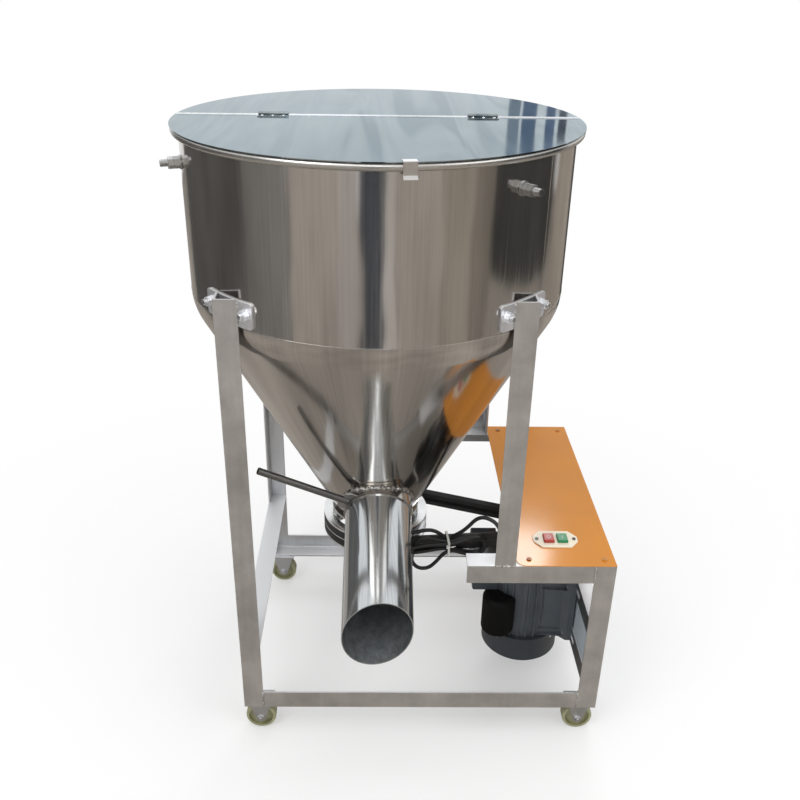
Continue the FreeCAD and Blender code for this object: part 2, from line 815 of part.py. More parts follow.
def along_spout(shape):
    """Put a shape made about the Z axis onto the spout axis."""
    result = shape.copy()
    result.Placement = spout_frame().multiply(shape.Placement)
    return result


def gate_half_gap():
    """Half the slit between the gate flanges."""
    return gate_t / 2 + gate_gap


def spout_collar():
    """Stub welded to the cone, the two gate flanges and the spacer that joins them."""
    half = gate_half_gap()
    outer = Part.makeCylinder(stub_r, 120, V(0, 0, -120 - half))
    stub = along_spout(outer).cut(hopper_body())
    inner = along_spout(Part.makeCylinder(spout_r - wall_t, 400, V(0, 0, -200)))
    upper = along_spout(Part.makeCylinder(flange_r, flange_t, V(0, 0, -half - flange_t)))
    lower = along_spout(Part.makeCylinder(flange_r, flange_t, V(0, 0, half)))
    spacer = Part.makeCylinder(flange_r, 2 * half, V(0, 0, -half))
    spacer = spacer.cut(Part.makeCylinder(spout_r + gate_gap, 2 * half, V(0, 0, -half)))
    outward = math.radians(180 - gate_angle)
    spacer = along_spout(spacer.cut(half_space(V(0, 0, 0), V(math.cos(outward), math.sin(outward), 0))))
    return stub.fuse([upper, lower, spacer]).cut(inner).removeSplitter()


def spout_tube():
    """Spout below the gate, cut off plumb and a little askew at the mouth."""
    start = gate_half_gap() + flange_t
    long = 2 * spout_run
    skew = math.radians(mouth_skew)
    tube = Part.makeCylinder(spout_r, long, V(0, 0, start))
    tube = tube.cut(Part.makeCylinder(spout_r - wall_t, long, V(0, 0, start)))
    mouth = half_space(V(spout_x, spout_mouth_y, 0), V(math.sin(skew), -math.cos(skew), 0))
    return along_spout(tube).cut(mouth)


def gate_plate():
    """Round-nosed slide plate with a short tail for the rod."""
    nose = Part.makeCylinder(spout_r, gate_t, V(0, 0, -gate_t / 2))
    tail = block((0, -26, -gate_t / 2), (rod_start + 14, 26, gate_t / 2))
    tail = tail.makeFillet(10.0, [e for e in tail.Edges if abs(e.CenterOfMass.x - rod_start - 14) < 0.1
                                  and e.Length < gate_t + 0.1])
    plate = turned(nose.fuse(tail).removeSplitter(), 180 - gate_angle)
    return along_spout(plate)


def gate_rod():
    """Hollow pull rod slotted over the tail of the gate plate."""
    direction = V(math.cos(math.radians(180 - gate_angle)), math.sin(math.radians(180 - gate_angle)), 0)
    rod = Part.makeCylinder(rod_r, rod_length, direction * rod_start, direction)
    rod = rod.cut(Part.makeCylinder(rod_r - rod_wall, rod_length, direction * rod_start, direction))
    return along_spout(rod).cut(gate_plate())


def motor_housing():
    """Finned stator body on its two foot rails."""
    body = cylinder(stator_r, cowl_top, stator_top, motor_x, motor_y)
    fin = block((stator_r - 2, -1.2, cowl_top + 2), (fin_r, 1.2, stator_top - 2))
    fins = []
    for i in range(fin_count):
        azimuth = 360.0 * i / fin_count
        if min(azimuth, 360 - azimuth) > 38 and abs(azimuth - 180) > 38:
            fins.append(moved(turned(fin, azimuth), motor_x, motor_y))
    foot = []
    for side in (-1, 1):
        points = [(foot_plane_x, side * foot_half), (foot_plane_x, side * (foot_half - 50)),
                  (foot_plane_x - foot_t, side * (foot_half - 50)), (motor_x + 40, side * 40),
                  (motor_x + 20, side * (stator_r - 4)), (foot_plane_x - foot_t - 14, side * (stator_r + 1)),
                  (foot_plane_x - foot_t, side * foot_half)]
        section = outline([(x, motor_y + y, foot_bottom) for x, y in points])
        foot.append(section.extrude(V(0, 0, foot_top - foot_bottom)))
    body = body.fuse(fins + foot)
    holes = []
    for y in motor_bolt_rows():
        for z in motor_bolt_heights():
            bolt_start = V(motor_x + 40, y, z)
            pocket_start = V(foot_plane_x - foot_t, y, z)
            holes.append(Part.makeCylinder(motor_bolt_r + 0.5, foot_half, bolt_start, V(1, 0, 0)))
            holes.append(Part.makeCylinder(2 * motor_bolt_r + 1, 60, pocket_start, V(-1, 0, 0)))
    bore = cylinder(motor_shaft_r + 10, cowl_top, stator_top, motor_x, motor_y)
    return body.cut([bore] + holes).removeSplitter()


def motor_shield():
    """Drive-end shield above the stator."""
    spread = stator_r + 3
    bore = motor_shaft_r + 0.5
    points = [(bore, stator_top), (spread, stator_top), (spread, stator_top + 10),
              (spread - 12, stator_top + 18), (motor_boss_r + 4, stator_top + 22), (motor_boss_r, shield_top),
              (bore, shield_top)]
    shield = outline([(r, 0, z) for r, z in points]).revolve(V(0, 0, 0), UP, 360)
    return moved(shield, motor_x, motor_y)


def motor_cowl():
    """Fan cowl with a slotted bottom."""
    points = [(0, cowl_bottom), (cowl_r - 8, cowl_bottom), (cowl_r, cowl_bottom + 8), (cowl_r, cowl_top),
              (cowl_r - cowl_t, cowl_top), (cowl_r - cowl_t, cowl_bottom + 9),
              (cowl_r - 9, cowl_bottom + cowl_t), (0, cowl_bottom + cowl_t)]
    cowl = outline([(r, 0, z) for r, z in points]).revolve(V(0, 0, 0), UP, 360)
    slots = []
    for i in range(12):
        slots.append(turned(block((26, -3.5, cowl_bottom - 1), (66, 3.5, cowl_bottom + cowl_t + 1)), 30 * i))
    cowl = moved(cowl.cut(slots), motor_x, motor_y)
    collar = ring(cowl_r - cowl_t, stator_r - 8, cowl_top - cowl_t, cowl_top, motor_x, motor_y)
    return cowl.fuse(collar).removeSplitter()


def motor_fan():
    """Radial fan on the rear end of the motor shaft."""
    hub = ring(26, motor_shaft_r - 4, cowl_bottom + 18, cowl_top - 10)
    disc = ring(cowl_r - 12, motor_shaft_r - 4, cowl_bottom + 18, cowl_bottom + 21)
    blade = block((24, -1.5, cowl_bottom + 20), (cowl_r - 14, 1.5, cowl_top - 18))
    blades = [turned(blade, 60 * i) for i in range(6)]
    return moved(hub.fuse([disc] + blades).removeSplitter(), motor_x, motor_y)


def motor_rotor():
    """Rotor shaft from the fan to the pulley, with the rotor core."""
    tail = cylinder(motor_shaft_r - 4, cowl_bottom + 12, cowl_top)
    shaft = cylinder(motor_shaft_r, cowl_top, pulley_bottom + motor_pulley_height + 5)
    core = cylinder(motor_shaft_r + 8, cowl_top + 30, stator_top - 30)
    return moved(tail.fuse([shaft, core]).removeSplitter(), motor_x, motor_y)


def terminal_box():
    """Connection box with a raised lid on the hopper side of the motor."""
    low = (motor_x - box_reach, motor_y - box_half, capacitor_top + 1)
    high = (motor_x - stator_r + box_lid_t, motor_y + box_half, shield_top - 2)
    box = block((low[0] + box_lid_t, low[1], low[2]), high)
    lid = block(low, (low[0] + box_lid_t, high[1], high[2]))
    lid = lid.makeFillet(4.0, [e for e in lid.Edges if abs(e.CenterOfMass.x - low[0]) < 0.1])
    box = box.removeSplitter().cut(cylinder(stator_r, cowl_top, stator_top, motor_x, motor_y))
    box = box.cut([motor_shield_envelope()])
    seat = V(low[0] + box_gland_x, low[1], box_gland_z)
    gland = Part.makeCylinder(gland_r, gland_length, seat, V(0, -1, 0))
    gland = gland.cut(Part.makeCylinder(cord_r + 0.5, gland_length, seat, V(0, -1, 0)))
    return Part.makeCompound([box.fuse(lid).removeSplitter(), gland])


def motor_shield_envelope():
    """Space of the end shield, for trimming the terminal box."""
    return cylinder(stator_r + 3.3, stator_top, shield_top, motor_x, motor_y)


def capacitor_case():
    """Rounded case for the two capacitors on the front left of the stator."""
    x, y = motor_x - capacitor_offset, motor_y - capacitor_offset
    case = cylinder(capacitor_r, cowl_top + 16, capacitor_top, x, y)
    case = case.makeFillet(10.0, [e for e in case.Edges if len(e.Vertexes) == 1])
    return case.cut(cylinder(fin_r + 0.3, cowl_top, stator_top, motor_x, motor_y))


def motor_bolts():
    """Foot bolts through the feet, the rails and the slotted plate."""
    bolts = []
    start = foot_plane_x - foot_t
    end = foot_plane_x + motor_plate_t + angle_t
    for y in motor_bolt_rows():
        for z in motor_bolt_heights():
            shank = Part.makeCylinder(motor_bolt_r, end - start + 12, V(start, y, z), V(1, 0, 0))
            head = hexagon(bolt_nut_w, bolt_nut_t - 2, V(start, y, z), V(-1, 0, 0))
            nut = hexagon(bolt_nut_w, bolt_nut_t, V(end, y, z), V(1, 0, 0))
            bolts.append(shank.fuse([head, nut]).removeSplitter())
    return bolts


def pulley_cover():
    """Painted top sheet over the drive, with the switch opening."""
    sheet = block((cover_left, -frame_half_y, table_top), (stand_right, frame_half_y, table_top + cover_t))
    upright = [e for e in sheet.Edges if abs(e.Length - cover_t) < 0.01]
    corner = [e for e in upright if abs(e.CenterOfMass.x - cover_left) < 0.1 and e.CenterOfMass.y < 0]
    sheet = sheet.makeFillet(cover_corner_r, corner)
    low, high = table_top - 1, table_top + 5
    hole = block((switch_x - 28, switch_y - 17, low), (switch_x + 28, switch_y + 17, high))
    holes = [cylinder(cover_screw_r + running_gap, low, high, x, y) for x, y in cover_screw_places()]
    holes += [cylinder(plate_screw_r + running_gap, low, high, x, switch_y) for x in switch_screw_places()]
    return sheet.cut([hole] + holes)


def cover_screw_places():
    """Screws that hold the cover down on the table beams."""
    side = frame_half_y - angle_w / 2
    right = stand_right - cover_screw_inset
    return [(cover_screw_x, side), (cover_screw_x, -side), (right, side), (right, -side)]


def switch_screw_places():
    """Screws at the two pointed ends of the switch plate."""
    return (switch_x - plate_screw_x, switch_x + plate_screw_x)


def screws():
    """Cover screws and switch plate screws."""
    places = [(x, y, cover_screw_r, cover_screw_head_r, table_top + cover_t) for x, y in cover_screw_places()]
    places += [(x, switch_y, plate_screw_r, plate_screw_head_r, table_top + cover_t + switch_plate_t)
               for x in switch_screw_places()]
    solids = []
    for x, y, shank_r, head_r, seat in places:
        shank = cylinder(shank_r, table_top - screw_depth, seat, x, y)
        head = cylinder(head_r, seat, seat + head_r / 2, x, y)
        solids.append(shank.fuse(head).removeSplitter())
    return Part.makeCompound(solids)


def switch_plate():
    """Long six-sided push-button plate with two openings."""
    half_w, half_d, point = switch_plate_w / 2, switch_plate_d / 2, 15.0
    z = table_top + cover_t
    points = [(-half_w, -8), (-half_w + point, -half_d), (half_w - point, -half_d), (half_w, -8),
              (half_w, 8), (half_w - point, half_d), (-half_w + point, half_d), (-half_w, 8)]
    plate = outline([(switch_x + x, switch_y + y, z) for x, y in points]).extrude(V(0, 0, switch_plate_t))
    cuts = []
    for side in (-1, 1):
        x = switch_x + side * button_offset
        cuts.append(block((x - button_w / 2 - button_gap, switch_y - button_d / 2 - button_gap, z - 1),
                          (x + button_w / 2 + button_gap, switch_y + button_d / 2 + button_gap, z + 5)))
    ends = [cylinder(plate_screw_r + running_gap, z - 1, z + 5, x, switch_y) for x in switch_screw_places()]
    return plate.cut(cuts + ends)


def button(side):
    """Square push button with its collar and stem."""
    x = switch_x + side * button_offset
    z = table_top + cover_t
    top = z + switch_plate_t + button_rise
    half_w, half_d, rim = button_w / 2, button_d / 2, 1.6
    cap = block((x - half_w, switch_y - half_d, z - 4), (x + half_w, switch_y + half_d, top))
    cap = cap.makeFillet(1.5, [e for e in cap.Edges if abs(e.CenterOfMass.z - top) < 0.1])
    collar = block((x - half_w - rim, switch_y - half_d - rim, z - 4),
                   (x + half_w + rim, switch_y + half_d + rim, z - 0.3))
    stem = block((x - 4, switch_y - 4, z - 16), (x + 4, switch_y + 4, z - 4))
    return cap.fuse([collar, stem]).removeSplitter()


def switch_box():
    """Switch body under the cover, open at the top, with its contact block and two glands."""
    half_w, half_d = switch_box_w / 2 + 4, switch_box_d / 2
    low, high = table_top - switch_box_depth, table_top
    box = block((switch_x - half_w, switch_y - half_d, low), (switch_x + half_w, switch_y + half_d, high))
    inside = block((switch_x - half_w + 10, switch_y - half_d + switch_wall, low + 20),
                   (switch_x + half_w - 10, switch_y + half_d - switch_wall, high))
    hole_r = plate_screw_r + running_gap
    ends = [cylinder(hole_r, high - 20, high, x, switch_y) for x in switch_screw_places()]
    solids = [box.cut([inside] + ends)]
    for y, z in gland_places():
        x = switch_x - half_w
        outer = Part.makeCylinder(gland_r, gland_length, V(x, y, z), V(-1, 0, 0))
        solids.append(outer.cut(Part.makeCylinder(cord_r + 0.5, gland_length, V(x, y, z), V(-1, 0, 0))))
    return Part.makeCompound(solids)


def gland_places():
    """Side and height of the supply gland and the motor gland on the switch box."""
    return ((switch_y - 10, gland_upper_z), (switch_y + 10, gland_lower_z))


def gland_mouth_x():
    """Outer end of the glands on the switch box."""
    return switch_x - switch_box_w / 2 - 4 - gland_length


def cord_tube(points, radius, label):
    """Cord along straight runs joined by tangent arcs, as large as the two runs allow."""
    spots = [V(*p) for p in points]
    edges = []
    start = spots[0]
    radii = []
    for before, corner, after in zip(spots, spots[1:], spots[2:]):
        inward = before - corner
        outward = after - corner
        run = min(inward.Length, outward.Length)
        inward.normalize()
        outward.normalize()
        half_turn = (math.pi - inward.getAngle(outward)) / 2
        reach = 0.45 * run
        bend = reach / math.tan(half_turn)
        radii.append(round(bend, 1))
        first, last = corner + inward * reach, corner + outward * reach
        middle_line = inward + outward
        middle_line.normalize()
        middle = corner + middle_line * (bend / math.cos(half_turn) - bend)
        edges.append(Part.LineSegment(start, first).toShape())
        edges.append(Part.Arc(first, middle, last).toShape())
        start = last
    edges.append(Part.LineSegment(start, spots[-1]).toShape())
    path = Part.Wire(edges)
    heading = spots[1] - spots[0]
    section = Part.Wire(Part.makeCircle(radius, spots[0], heading))
    tube = path.makePipeShell([section], True, False)
    print(label, "radii", radii, "length", round(path.Length, 1),
          "volume share", round(tube.Volume / (math.pi * radius ** 2 * path.Length), 4))
    return tube


def supply_route():
    """Supply cord from the switch gland, in a high loop, to the top of the bundle."""
    y, z = gland_places()[0]
    end_x = 166.0
    end = (end_x, belt_face(end_x) - layer_offset(0), 386)
    return [(gland_mouth_x() + gland_length, y, z), (gland_mouth_x() - 20, y, z), (254, -180, 446),
            (243, -166, 468), (211, -145, 469), (186, -127, 420), end]


def motor_lead_route():
    """Lead from the switch box down to the terminal box gland."""
    y, z = gland_places()[1]
    box_x = motor_x - box_reach + box_gland_x
    box_y = motor_y - box_half
    return [(gland_mouth_x() + gland_length, y, z), (gland_mouth_x() - 12, y, z), (264, y + 1, z - 13),
            (250, y + 6, z - 40), (245, y + 16, z - 70), (box_x, box_y - 58, 305), (box_x, box_y - 34, 290),
            (box_x, box_y, box_gland_z)]


def loop_route():
    """Slack loop of cord that hangs under the bundle's left half."""
    spots = [(143.5, 355), (129.9, 329.6), (113.4, 313.1), (90.2, 315.1), (76.8, 334.2), (78.5, 350)]
    return [(x, belt_face(x) - layer_offset(1), z) for x, z in spots]


def front_run():
    """Start of the belts' straight front run, its direction and its outward normal."""
    bearing, spread, _ = belt_tangent()
    normal = math.radians(bearing - spread)
    outward = V(math.cos(normal), math.sin(normal), 0)
    return outward * pulley_r, V(-math.sin(normal), math.cos(normal), 0), outward


def belt_face(x):
    """Y of the belts' front face at an x along the straight front run."""
    start, heading, _ = front_run()
    return start.y + (x - start.x) * heading.y / heading.x


def layer_offset(layer):
    """Distance from the belts' front face to the middle of a layer of the bundle."""
    return hank_gap + layer_pitch * (layer + 0.5)


def cord_hank():
    """Bow-tie bundle of folded cord lying along the front run of the belts."""
    left, middle, right = hank_left, hank_middle, hank_right
    upper = [(left, drive_z + 6), (left + 14, drive_z + hank_lobe), (middle - 42, drive_z + hank_lobe - 3),
             (middle, drive_z + hank_waist), (middle + 34, drive_z + hank_lobe - 3),
             (right - 12, drive_z + hank_lobe - 2), (right, drive_z)]
    lower = [(right - 12, drive_z - hank_lobe + 2), (middle + 34, drive_z - hank_lobe + 3),
             (middle, drive_z - hank_waist), (middle - 42, drive_z - hank_lobe + 8),
             (left + 14, drive_z - hank_lobe + 8)]
    outward = front_run()[2]
    points = [(x, belt_face(x) - hank_gap, z) for x, z in upper + lower]
    return outline(points).extrude(outward * hank_thick)


def cable_tie():
    """Loop of tie round the bundle's waist and the belts, tapered towards the front."""
    _, heading, outward = front_run()
    foot = V(hank_middle, belt_face(hank_middle), drive_z) - heading * (tie_width / 2)
    back = -belt_height - tie_t
    front = hank_gap + hank_thick + 0.3
    belts_half = belt_pitch / 2 + belt_top_w / 2 + 1.0
    waist_half = hank_waist + 0.6

    def loop(grow):
        inner, outer = back - grow, front + grow
        tall, short = belts_half + grow, waist_half + grow
        corners = [(inner, -tall), (0, -tall), (outer, -short), (outer, short), (0, tall), (inner, tall)]
        return outline([foot + outward * a + UP * b for a, b in corners]).extrude(heading * tie_width)

    return loop(tie_t).cut(loop(0.0))


def cord_plug():
    """Round moulded plug with two pins, at the bundle's left end in its outer layer."""
    x = hank_left + 2
    base = V(x, belt_face(x) - layer_offset(2), drive_z)
    heading = V(-1, 0, 0)
    neck = Part.makeCone(cord_r + 1.5, plug_r / 2, plug_neck, base, heading)
    body = Part.makeCylinder(plug_r, plug_length, base + heading * plug_neck, heading)
    body = body.makeFillet(3.0, body.Edges[:1])
    pin_start = base + heading * (plug_neck + plug_length)
    pins = [Part.makeCylinder(plug_pin_r, plug_pin_length, pin_start + UP * (plug_pin_offset * side), heading)
            for side in (-1, 1)]
    return neck.fuse([body] + pins).removeSplitter()


def build():
    """Write every node."""
    members = frame_members()
    for pair in ("stand_leg", "bottom_rail"):
        members[pair + "s"] = Part.makeCompound([members.pop(pair + "_front"), members.pop(pair + "_rear")])
    for name, member in members.items():
        save(name, member)
    save("motor_plate", motor_plate())
    forks = []
    for name, (x, y) in castor_centres().items():
        forks += castor_fork(x, y)
        save("castor_wheel_" + name, castor_wheel(x, y))
    save("castor_forks", Part.makeCompound(forks))
    save("hopper_shell", hopper_shell())
    save("hopper_floor_plate", floor_plate())
    save("hopper_saddles", saddles())
    save("frame_bolts", Part.makeCompound(saddle_bolts() + bearing_bolts() + motor_bolts()))
    save("lid_rear", lid_half(True))
    save("lid_front", lid_half(False))
    save("lid_hinge_fixed", hinge_leaves(False))
    save("lid_hinge_moving", hinge_leaves(True))
    save("lid_clip", lid_clip())
    save("guide_tube", guide_tube())
    save("guide_tube_arms", guide_arms())
    save("screw_shaft", screw_shaft())
    save("screw_flight", screw_flight())
    save("driven_pulley", driven_pulley())
    save("motor_pulley", motor_pulley())
    save("drive_belts", drive_belts())
    save("shaft_seal", shaft_seal())
    save("bearing_housing", bearing_housing())
    save("bearing_inner_ring", bearing_inner_ring())
    save("spout_collar", spout_collar())
    save("spout_tube", spout_tube())
    save("gate_plate", gate_plate())
    save("gate_rod", gate_rod())
    save("motor_housing", motor_housing())
    save("motor_end_shield", motor_shield())
    save("motor_fan_cowl", motor_cowl())
    save("motor_fan", motor_fan())
    save("motor_rotor", motor_rotor())
    save("terminal_box", terminal_box())
    save("capacitor_case", capacitor_case())
    save("pulley_cover", pulley_cover())
    save("cover_screws", screws())
    save("switch_plate", switch_plate())
    save("switch_box", switch_box())
    save("button_stop", button(-1))
    save("button_start", button(1))
    save("supply_cord", cord_tube(supply_route(), cord_r, "supply cord"))
    save("motor_lead", cord_tube(motor_lead_route(), cord_r, "motor lead"))
    save("cord_hank", cord_hank())
    save("cable_tie", cable_tie())
    save("cord_tail", cord_tube(loop_route(), cord_r, "slack loop"))
    save("cord_plug", cord_plug())


build()
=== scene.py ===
import json
import math
import random
from itertools import product

import bmesh
import bpy
from mathutils import Matrix, Vector


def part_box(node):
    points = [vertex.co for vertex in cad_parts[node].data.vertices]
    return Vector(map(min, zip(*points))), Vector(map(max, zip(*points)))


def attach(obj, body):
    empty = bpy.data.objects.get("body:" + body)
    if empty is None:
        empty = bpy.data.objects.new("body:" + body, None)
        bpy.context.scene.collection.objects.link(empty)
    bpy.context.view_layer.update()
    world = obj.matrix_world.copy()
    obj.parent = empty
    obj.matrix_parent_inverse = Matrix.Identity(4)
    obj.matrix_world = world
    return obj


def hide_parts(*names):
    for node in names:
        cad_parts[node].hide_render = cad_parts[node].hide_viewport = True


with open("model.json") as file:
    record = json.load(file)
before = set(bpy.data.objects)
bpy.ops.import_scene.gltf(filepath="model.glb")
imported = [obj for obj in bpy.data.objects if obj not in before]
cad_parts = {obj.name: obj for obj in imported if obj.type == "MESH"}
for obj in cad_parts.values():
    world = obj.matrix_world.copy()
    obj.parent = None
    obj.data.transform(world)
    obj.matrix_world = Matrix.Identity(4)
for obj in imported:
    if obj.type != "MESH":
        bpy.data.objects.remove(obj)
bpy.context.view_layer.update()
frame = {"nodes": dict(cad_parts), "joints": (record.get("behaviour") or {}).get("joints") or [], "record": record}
nodes = frame["nodes"]
joints = {j["name"]: j for j in frame["joints"]}
outlet = next(m for m in frame["record"]["mounts"] if m["name"] == "spout_outlet")
MM = 0.001
UP = Vector((0, 0, 1))
rng = random.Random(7)

# Outer radius of the hopper's wall, in millimetres
wall_r = 352.3


# Camera


def add_camera():
    """Camera at the photograph's place, angle and framing."""
    focal_px, width_px = 883.7, 800.0
    centre_px = (389.4, 388.2)
    place = Vector((0.0027, -1.6314, 1.4931))
    yaw, pitch, roll = (math.radians(a) for a in (0.85, 26.41, 0.83))
    level = math.cos(pitch)
    forward = Vector((math.sin(yaw) * level, math.cos(yaw) * level, -math.sin(pitch)))
    right = Vector((math.cos(yaw), -math.sin(yaw), 0.0))
    up = right.cross(forward)
    rolled_right = right * math.cos(roll) + up * math.sin(roll)
    rolled_up = up * math.cos(roll) - right * math.sin(roll)
    data = bpy.data.cameras.new("camera")
    data.sensor_width = 36.0
    data.lens = focal_px * data.sensor_width / width_px
    data.shift_x = (width_px / 2 - centre_px[0]) / width_px
    data.shift_y = (centre_px[1] - width_px / 2) / width_px
    data.clip_start, data.clip_end = 0.05, 60.0
    camera = bpy.data.objects.new("camera", data)
    turn = Matrix((rolled_right, rolled_up, -forward)).transposed().to_4x4()
    camera.matrix_world = Matrix.Translation(place) @ turn
    bpy.context.scene.collection.objects.link(camera)
    bpy.context.scene.camera = camera


# Materials


def new_material(name):
    """Node material with its shader and object coordinates."""
    material = bpy.data.materials.new(name)
    material.use_nodes = True
    tree = material.node_tree
    shader = tree.nodes["Principled BSDF"]
    coords = tree.nodes.new("ShaderNodeTexCoord").outputs["Object"]
    return material, tree, shader, coords


def noise(tree, vector, scale, detail=3.0, roughness=0.5, distortion=0.0):
    """Noise texture's value."""
    node = tree.nodes.new("ShaderNodeTexNoise")
    node.inputs["Scale"].default_value = scale
    node.inputs["Detail"].default_value = detail
    node.inputs["Roughness"].default_value = roughness
    node.inputs["Distortion"].default_value = distortion
    tree.links.new(vector, node.inputs["Vector"])
    return node.outputs["Fac"]


def stretched(tree, vector, scale):
    """Vector scaled by axis."""
    node = tree.nodes.new("ShaderNodeMapping")
    node.inputs["Scale"].default_value = scale
    tree.links.new(vector, node.inputs["Vector"])
    return node.outputs["Vector"]


def ramp(tree, value, stops):
    """Colour ramp over a value; stops are (position, colour)."""
    node = tree.nodes.new("ShaderNodeValToRGB")
    elements = node.color_ramp.elements
    while len(elements) < len(stops):
        elements.new(0.5)
    for element, (position, colour) in zip(elements, stops):
        element.position = position
        element.color = (*colour, 1.0)
    tree.links.new(value, node.inputs["Fac"])
    return node.outputs["Color"]


def math_node(tree, operation, first, second=None):
    """Math node on values or numbers."""
    node = tree.nodes.new("ShaderNodeMath")
    node.operation = operation
    for socket, value in zip(node.inputs, (first, second)):
        if value is None:
            continue
        if isinstance(value, (int, float)):
            socket.default_value = value
        else:
            tree.links.new(value, socket)
    return node.outputs["Value"]


def component(tree, vector, axis):
    """X, Y or Z of a vector."""
    node = tree.nodes.new("ShaderNodeSeparateXYZ")
    tree.links.new(vector, node.inputs["Vector"])
    return node.outputs[axis]


def vector_math(tree, operation, first, second=None):
    """Vector math node on a vector and, for some operations, a fixed second one."""
    node = tree.nodes.new("ShaderNodeVectorMath")
    node.operation = operation
    tree.links.new(first, node.inputs[0])
    if second is not None:
        node.inputs[1].default_value = second
    return node


def to_range(tree, value, low, high, from_low=0.3, from_high=0.7):
    """Value mapped to a range."""
    node = tree.nodes.new("ShaderNodeMapRange")
    node.inputs["From Min"].default_value = from_low
    node.inputs["From Max"].default_value = from_high
    node.inputs["To Min"].default_value = low
    node.inputs["To Max"].default_value = high
    tree.links.new(value, node.inputs["Value"])
    return node.outputs["Result"]


def between(tree, share, low, high):
    """Value that goes from low to high as a share goes from zero to one."""
    return to_range(tree, share, low, high, 0.0, 1.0)


def mixed(tree, factor, first, second, blend="MIX"):
    """Mix of two colours by a factor."""
    node = tree.nodes.new("ShaderNodeMix")
    node.data_type = "RGBA"
    node.blend_type = blend
    sockets = [s for s in node.inputs if s.type == "RGBA"]
    for socket, value in ((node.inputs["Factor"], factor), (sockets[0], first), (sockets[1], second)):
        if isinstance(value, (int, float)):
            socket.default_value = value
        elif isinstance(value, tuple):
            socket.default_value = (*value, 1.0)
        else:
            tree.links.new(value, socket)
    return next(s for s in node.outputs if s.type == "RGBA")


def set_surface(tree, shader, colour, metallic, roughness):
    """Colour, metal and roughness of a shader, each a fixed value or another node's output."""
    for name, value in (("Base Color", colour), ("Metallic", metallic), ("Roughness", roughness)):
        if isinstance(value, float):
            shader.inputs[name].default_value = value
        else:
            tree.links.new(value, shader.inputs[name])


def bump(tree, shader, height, strength, distance):
    """Bump on the shader's normal."""
    node = tree.nodes.new("ShaderNodeBump")
    node.inputs["Strength"].default_value = strength
    node.inputs["Distance"].default_value = distance
    tree.links.new(height, node.inputs["Height"])
    tree.links.new(node.outputs["Normal"], shader.inputs["Normal"])


def shade(colour, factor):
    """Colour made lighter or darker."""
    return tuple(min(1.0, c * factor) for c in colour)


def grey(level):
    """Neutral colour."""
    return level, level, level


def around_axis(tree, coords, azimuth_scale, height_scale):
    """Vector of azimuth about the hopper axis and height, for streaks that run up a turned wall."""
    backward = math_node(tree, "MULTIPLY", component(tree, coords, "Y"), -1.0)
    azimuth = math_node(tree, "ARCTAN2", component(tree, coords, "X"), backward)
    height = component(tree, coords, "Z")
    join = tree.nodes.new("ShaderNodeCombineXYZ")
    tree.links.new(math_node(tree, "MULTIPLY", azimuth, azimuth_scale), join.inputs["X"])
    tree.links.new(math_node(tree, "MULTIPLY", height, height_scale), join.inputs["Y"])
    return join.outputs["Vector"]


def hopper_steel():
    """Polished stainless sheet with faint streaks that run up the wall, partly polishing marks and partly painted
    reflection bands, slight waves and a duller rim.
    """
    rim_start, rim_full = 1.2065, 1.2085
    material, tree, shader, coords = new_material("hopper_polished")
    # Painted reflection: broad bands round the wall stand for the room it reflects; the fine lines are polishing
    # streaks
    broad_reflection_bands = noise(tree, around_axis(tree, coords, 2.6, 0.8), 2.0, 2.0)
    fine = noise(tree, around_axis(tree, coords, 26.0, 1.2), 3.0, 4.0, 0.6)
    tone = ramp(tree, broad_reflection_bands, [(0.30, (0.40, 0.38, 0.36)),
                              (0.50, (0.48, 0.46, 0.435)),
                              (0.70, (0.56, 0.54, 0.515))])
    lines = ramp(tree, fine, [(0.30, grey(0.86)), (0.70, grey(1.08))])
    rim = to_range(tree, component(tree, coords, "Z"), 0.0, 0.16, rim_start, rim_full)
    rough = math_node(tree, "ADD", to_range(tree, fine, 0.08, 0.17), rim)
    set_surface(tree, shader, mixed(tree, 0.7, tone, lines, "MULTIPLY"), 1.0, rough)
    waves = noise(tree, around_axis(tree, coords, 1.6, 2.0), 3.0, 1.0)
    bump(tree, shader, waves, 0.22, 0.006)
    return material


def spout_steel():
    """Brighter polished tube, duller and scuffed on the inside."""
    bore_end, bore_clear = 0.0651, 0.0653
    material, tree, shader, coords = new_material("spout_polished")
    fine = noise(tree, around_axis(tree, coords, 90.0, 1.5), 1.0, 4.0, 0.6)
    from_mouth = vector_math(tree, "SUBTRACT", coords, outlet["pos_m"]).outputs["Vector"]
    across_axis = vector_math(tree, "CROSS_PRODUCT", from_mouth, outlet["axis"]).outputs["Vector"]
    radius = vector_math(tree, "LENGTH", across_axis).outputs["Value"]
    outside = to_range(tree, radius, 0.0, 1.0, bore_end, bore_clear)
    scuff = noise(tree, coords, 60.0, 5.0, 0.7, 0.4)
    bright = ramp(tree, fine, [(0.30, (0.50, 0.525, 0.545)), (0.70, (0.64, 0.67, 0.69))])
    dull = ramp(tree, scuff, [(0.35, (0.085, 0.095, 0.10)), (0.70, (0.17, 0.18, 0.185))])
    set_surface(tree, shader, mixed(tree, outside, dull, bright), between(tree, outside, 0.45, 0.97),
                between(tree, outside, 0.5, 0.13))
    bump(tree, shader, noise(tree, coords, 14.0, 2.0), 0.10, 0.003)
    return material


def top_highlight_mask(tree):
    """One on faces that point up, where a painted highlight stands for the light from above."""
    normal = tree.nodes.new("ShaderNodeNewGeometry").outputs["True Normal"]
    return to_range(tree, component(tree, normal, "Z"), 0.0, 1.0, 0.6, 0.9)


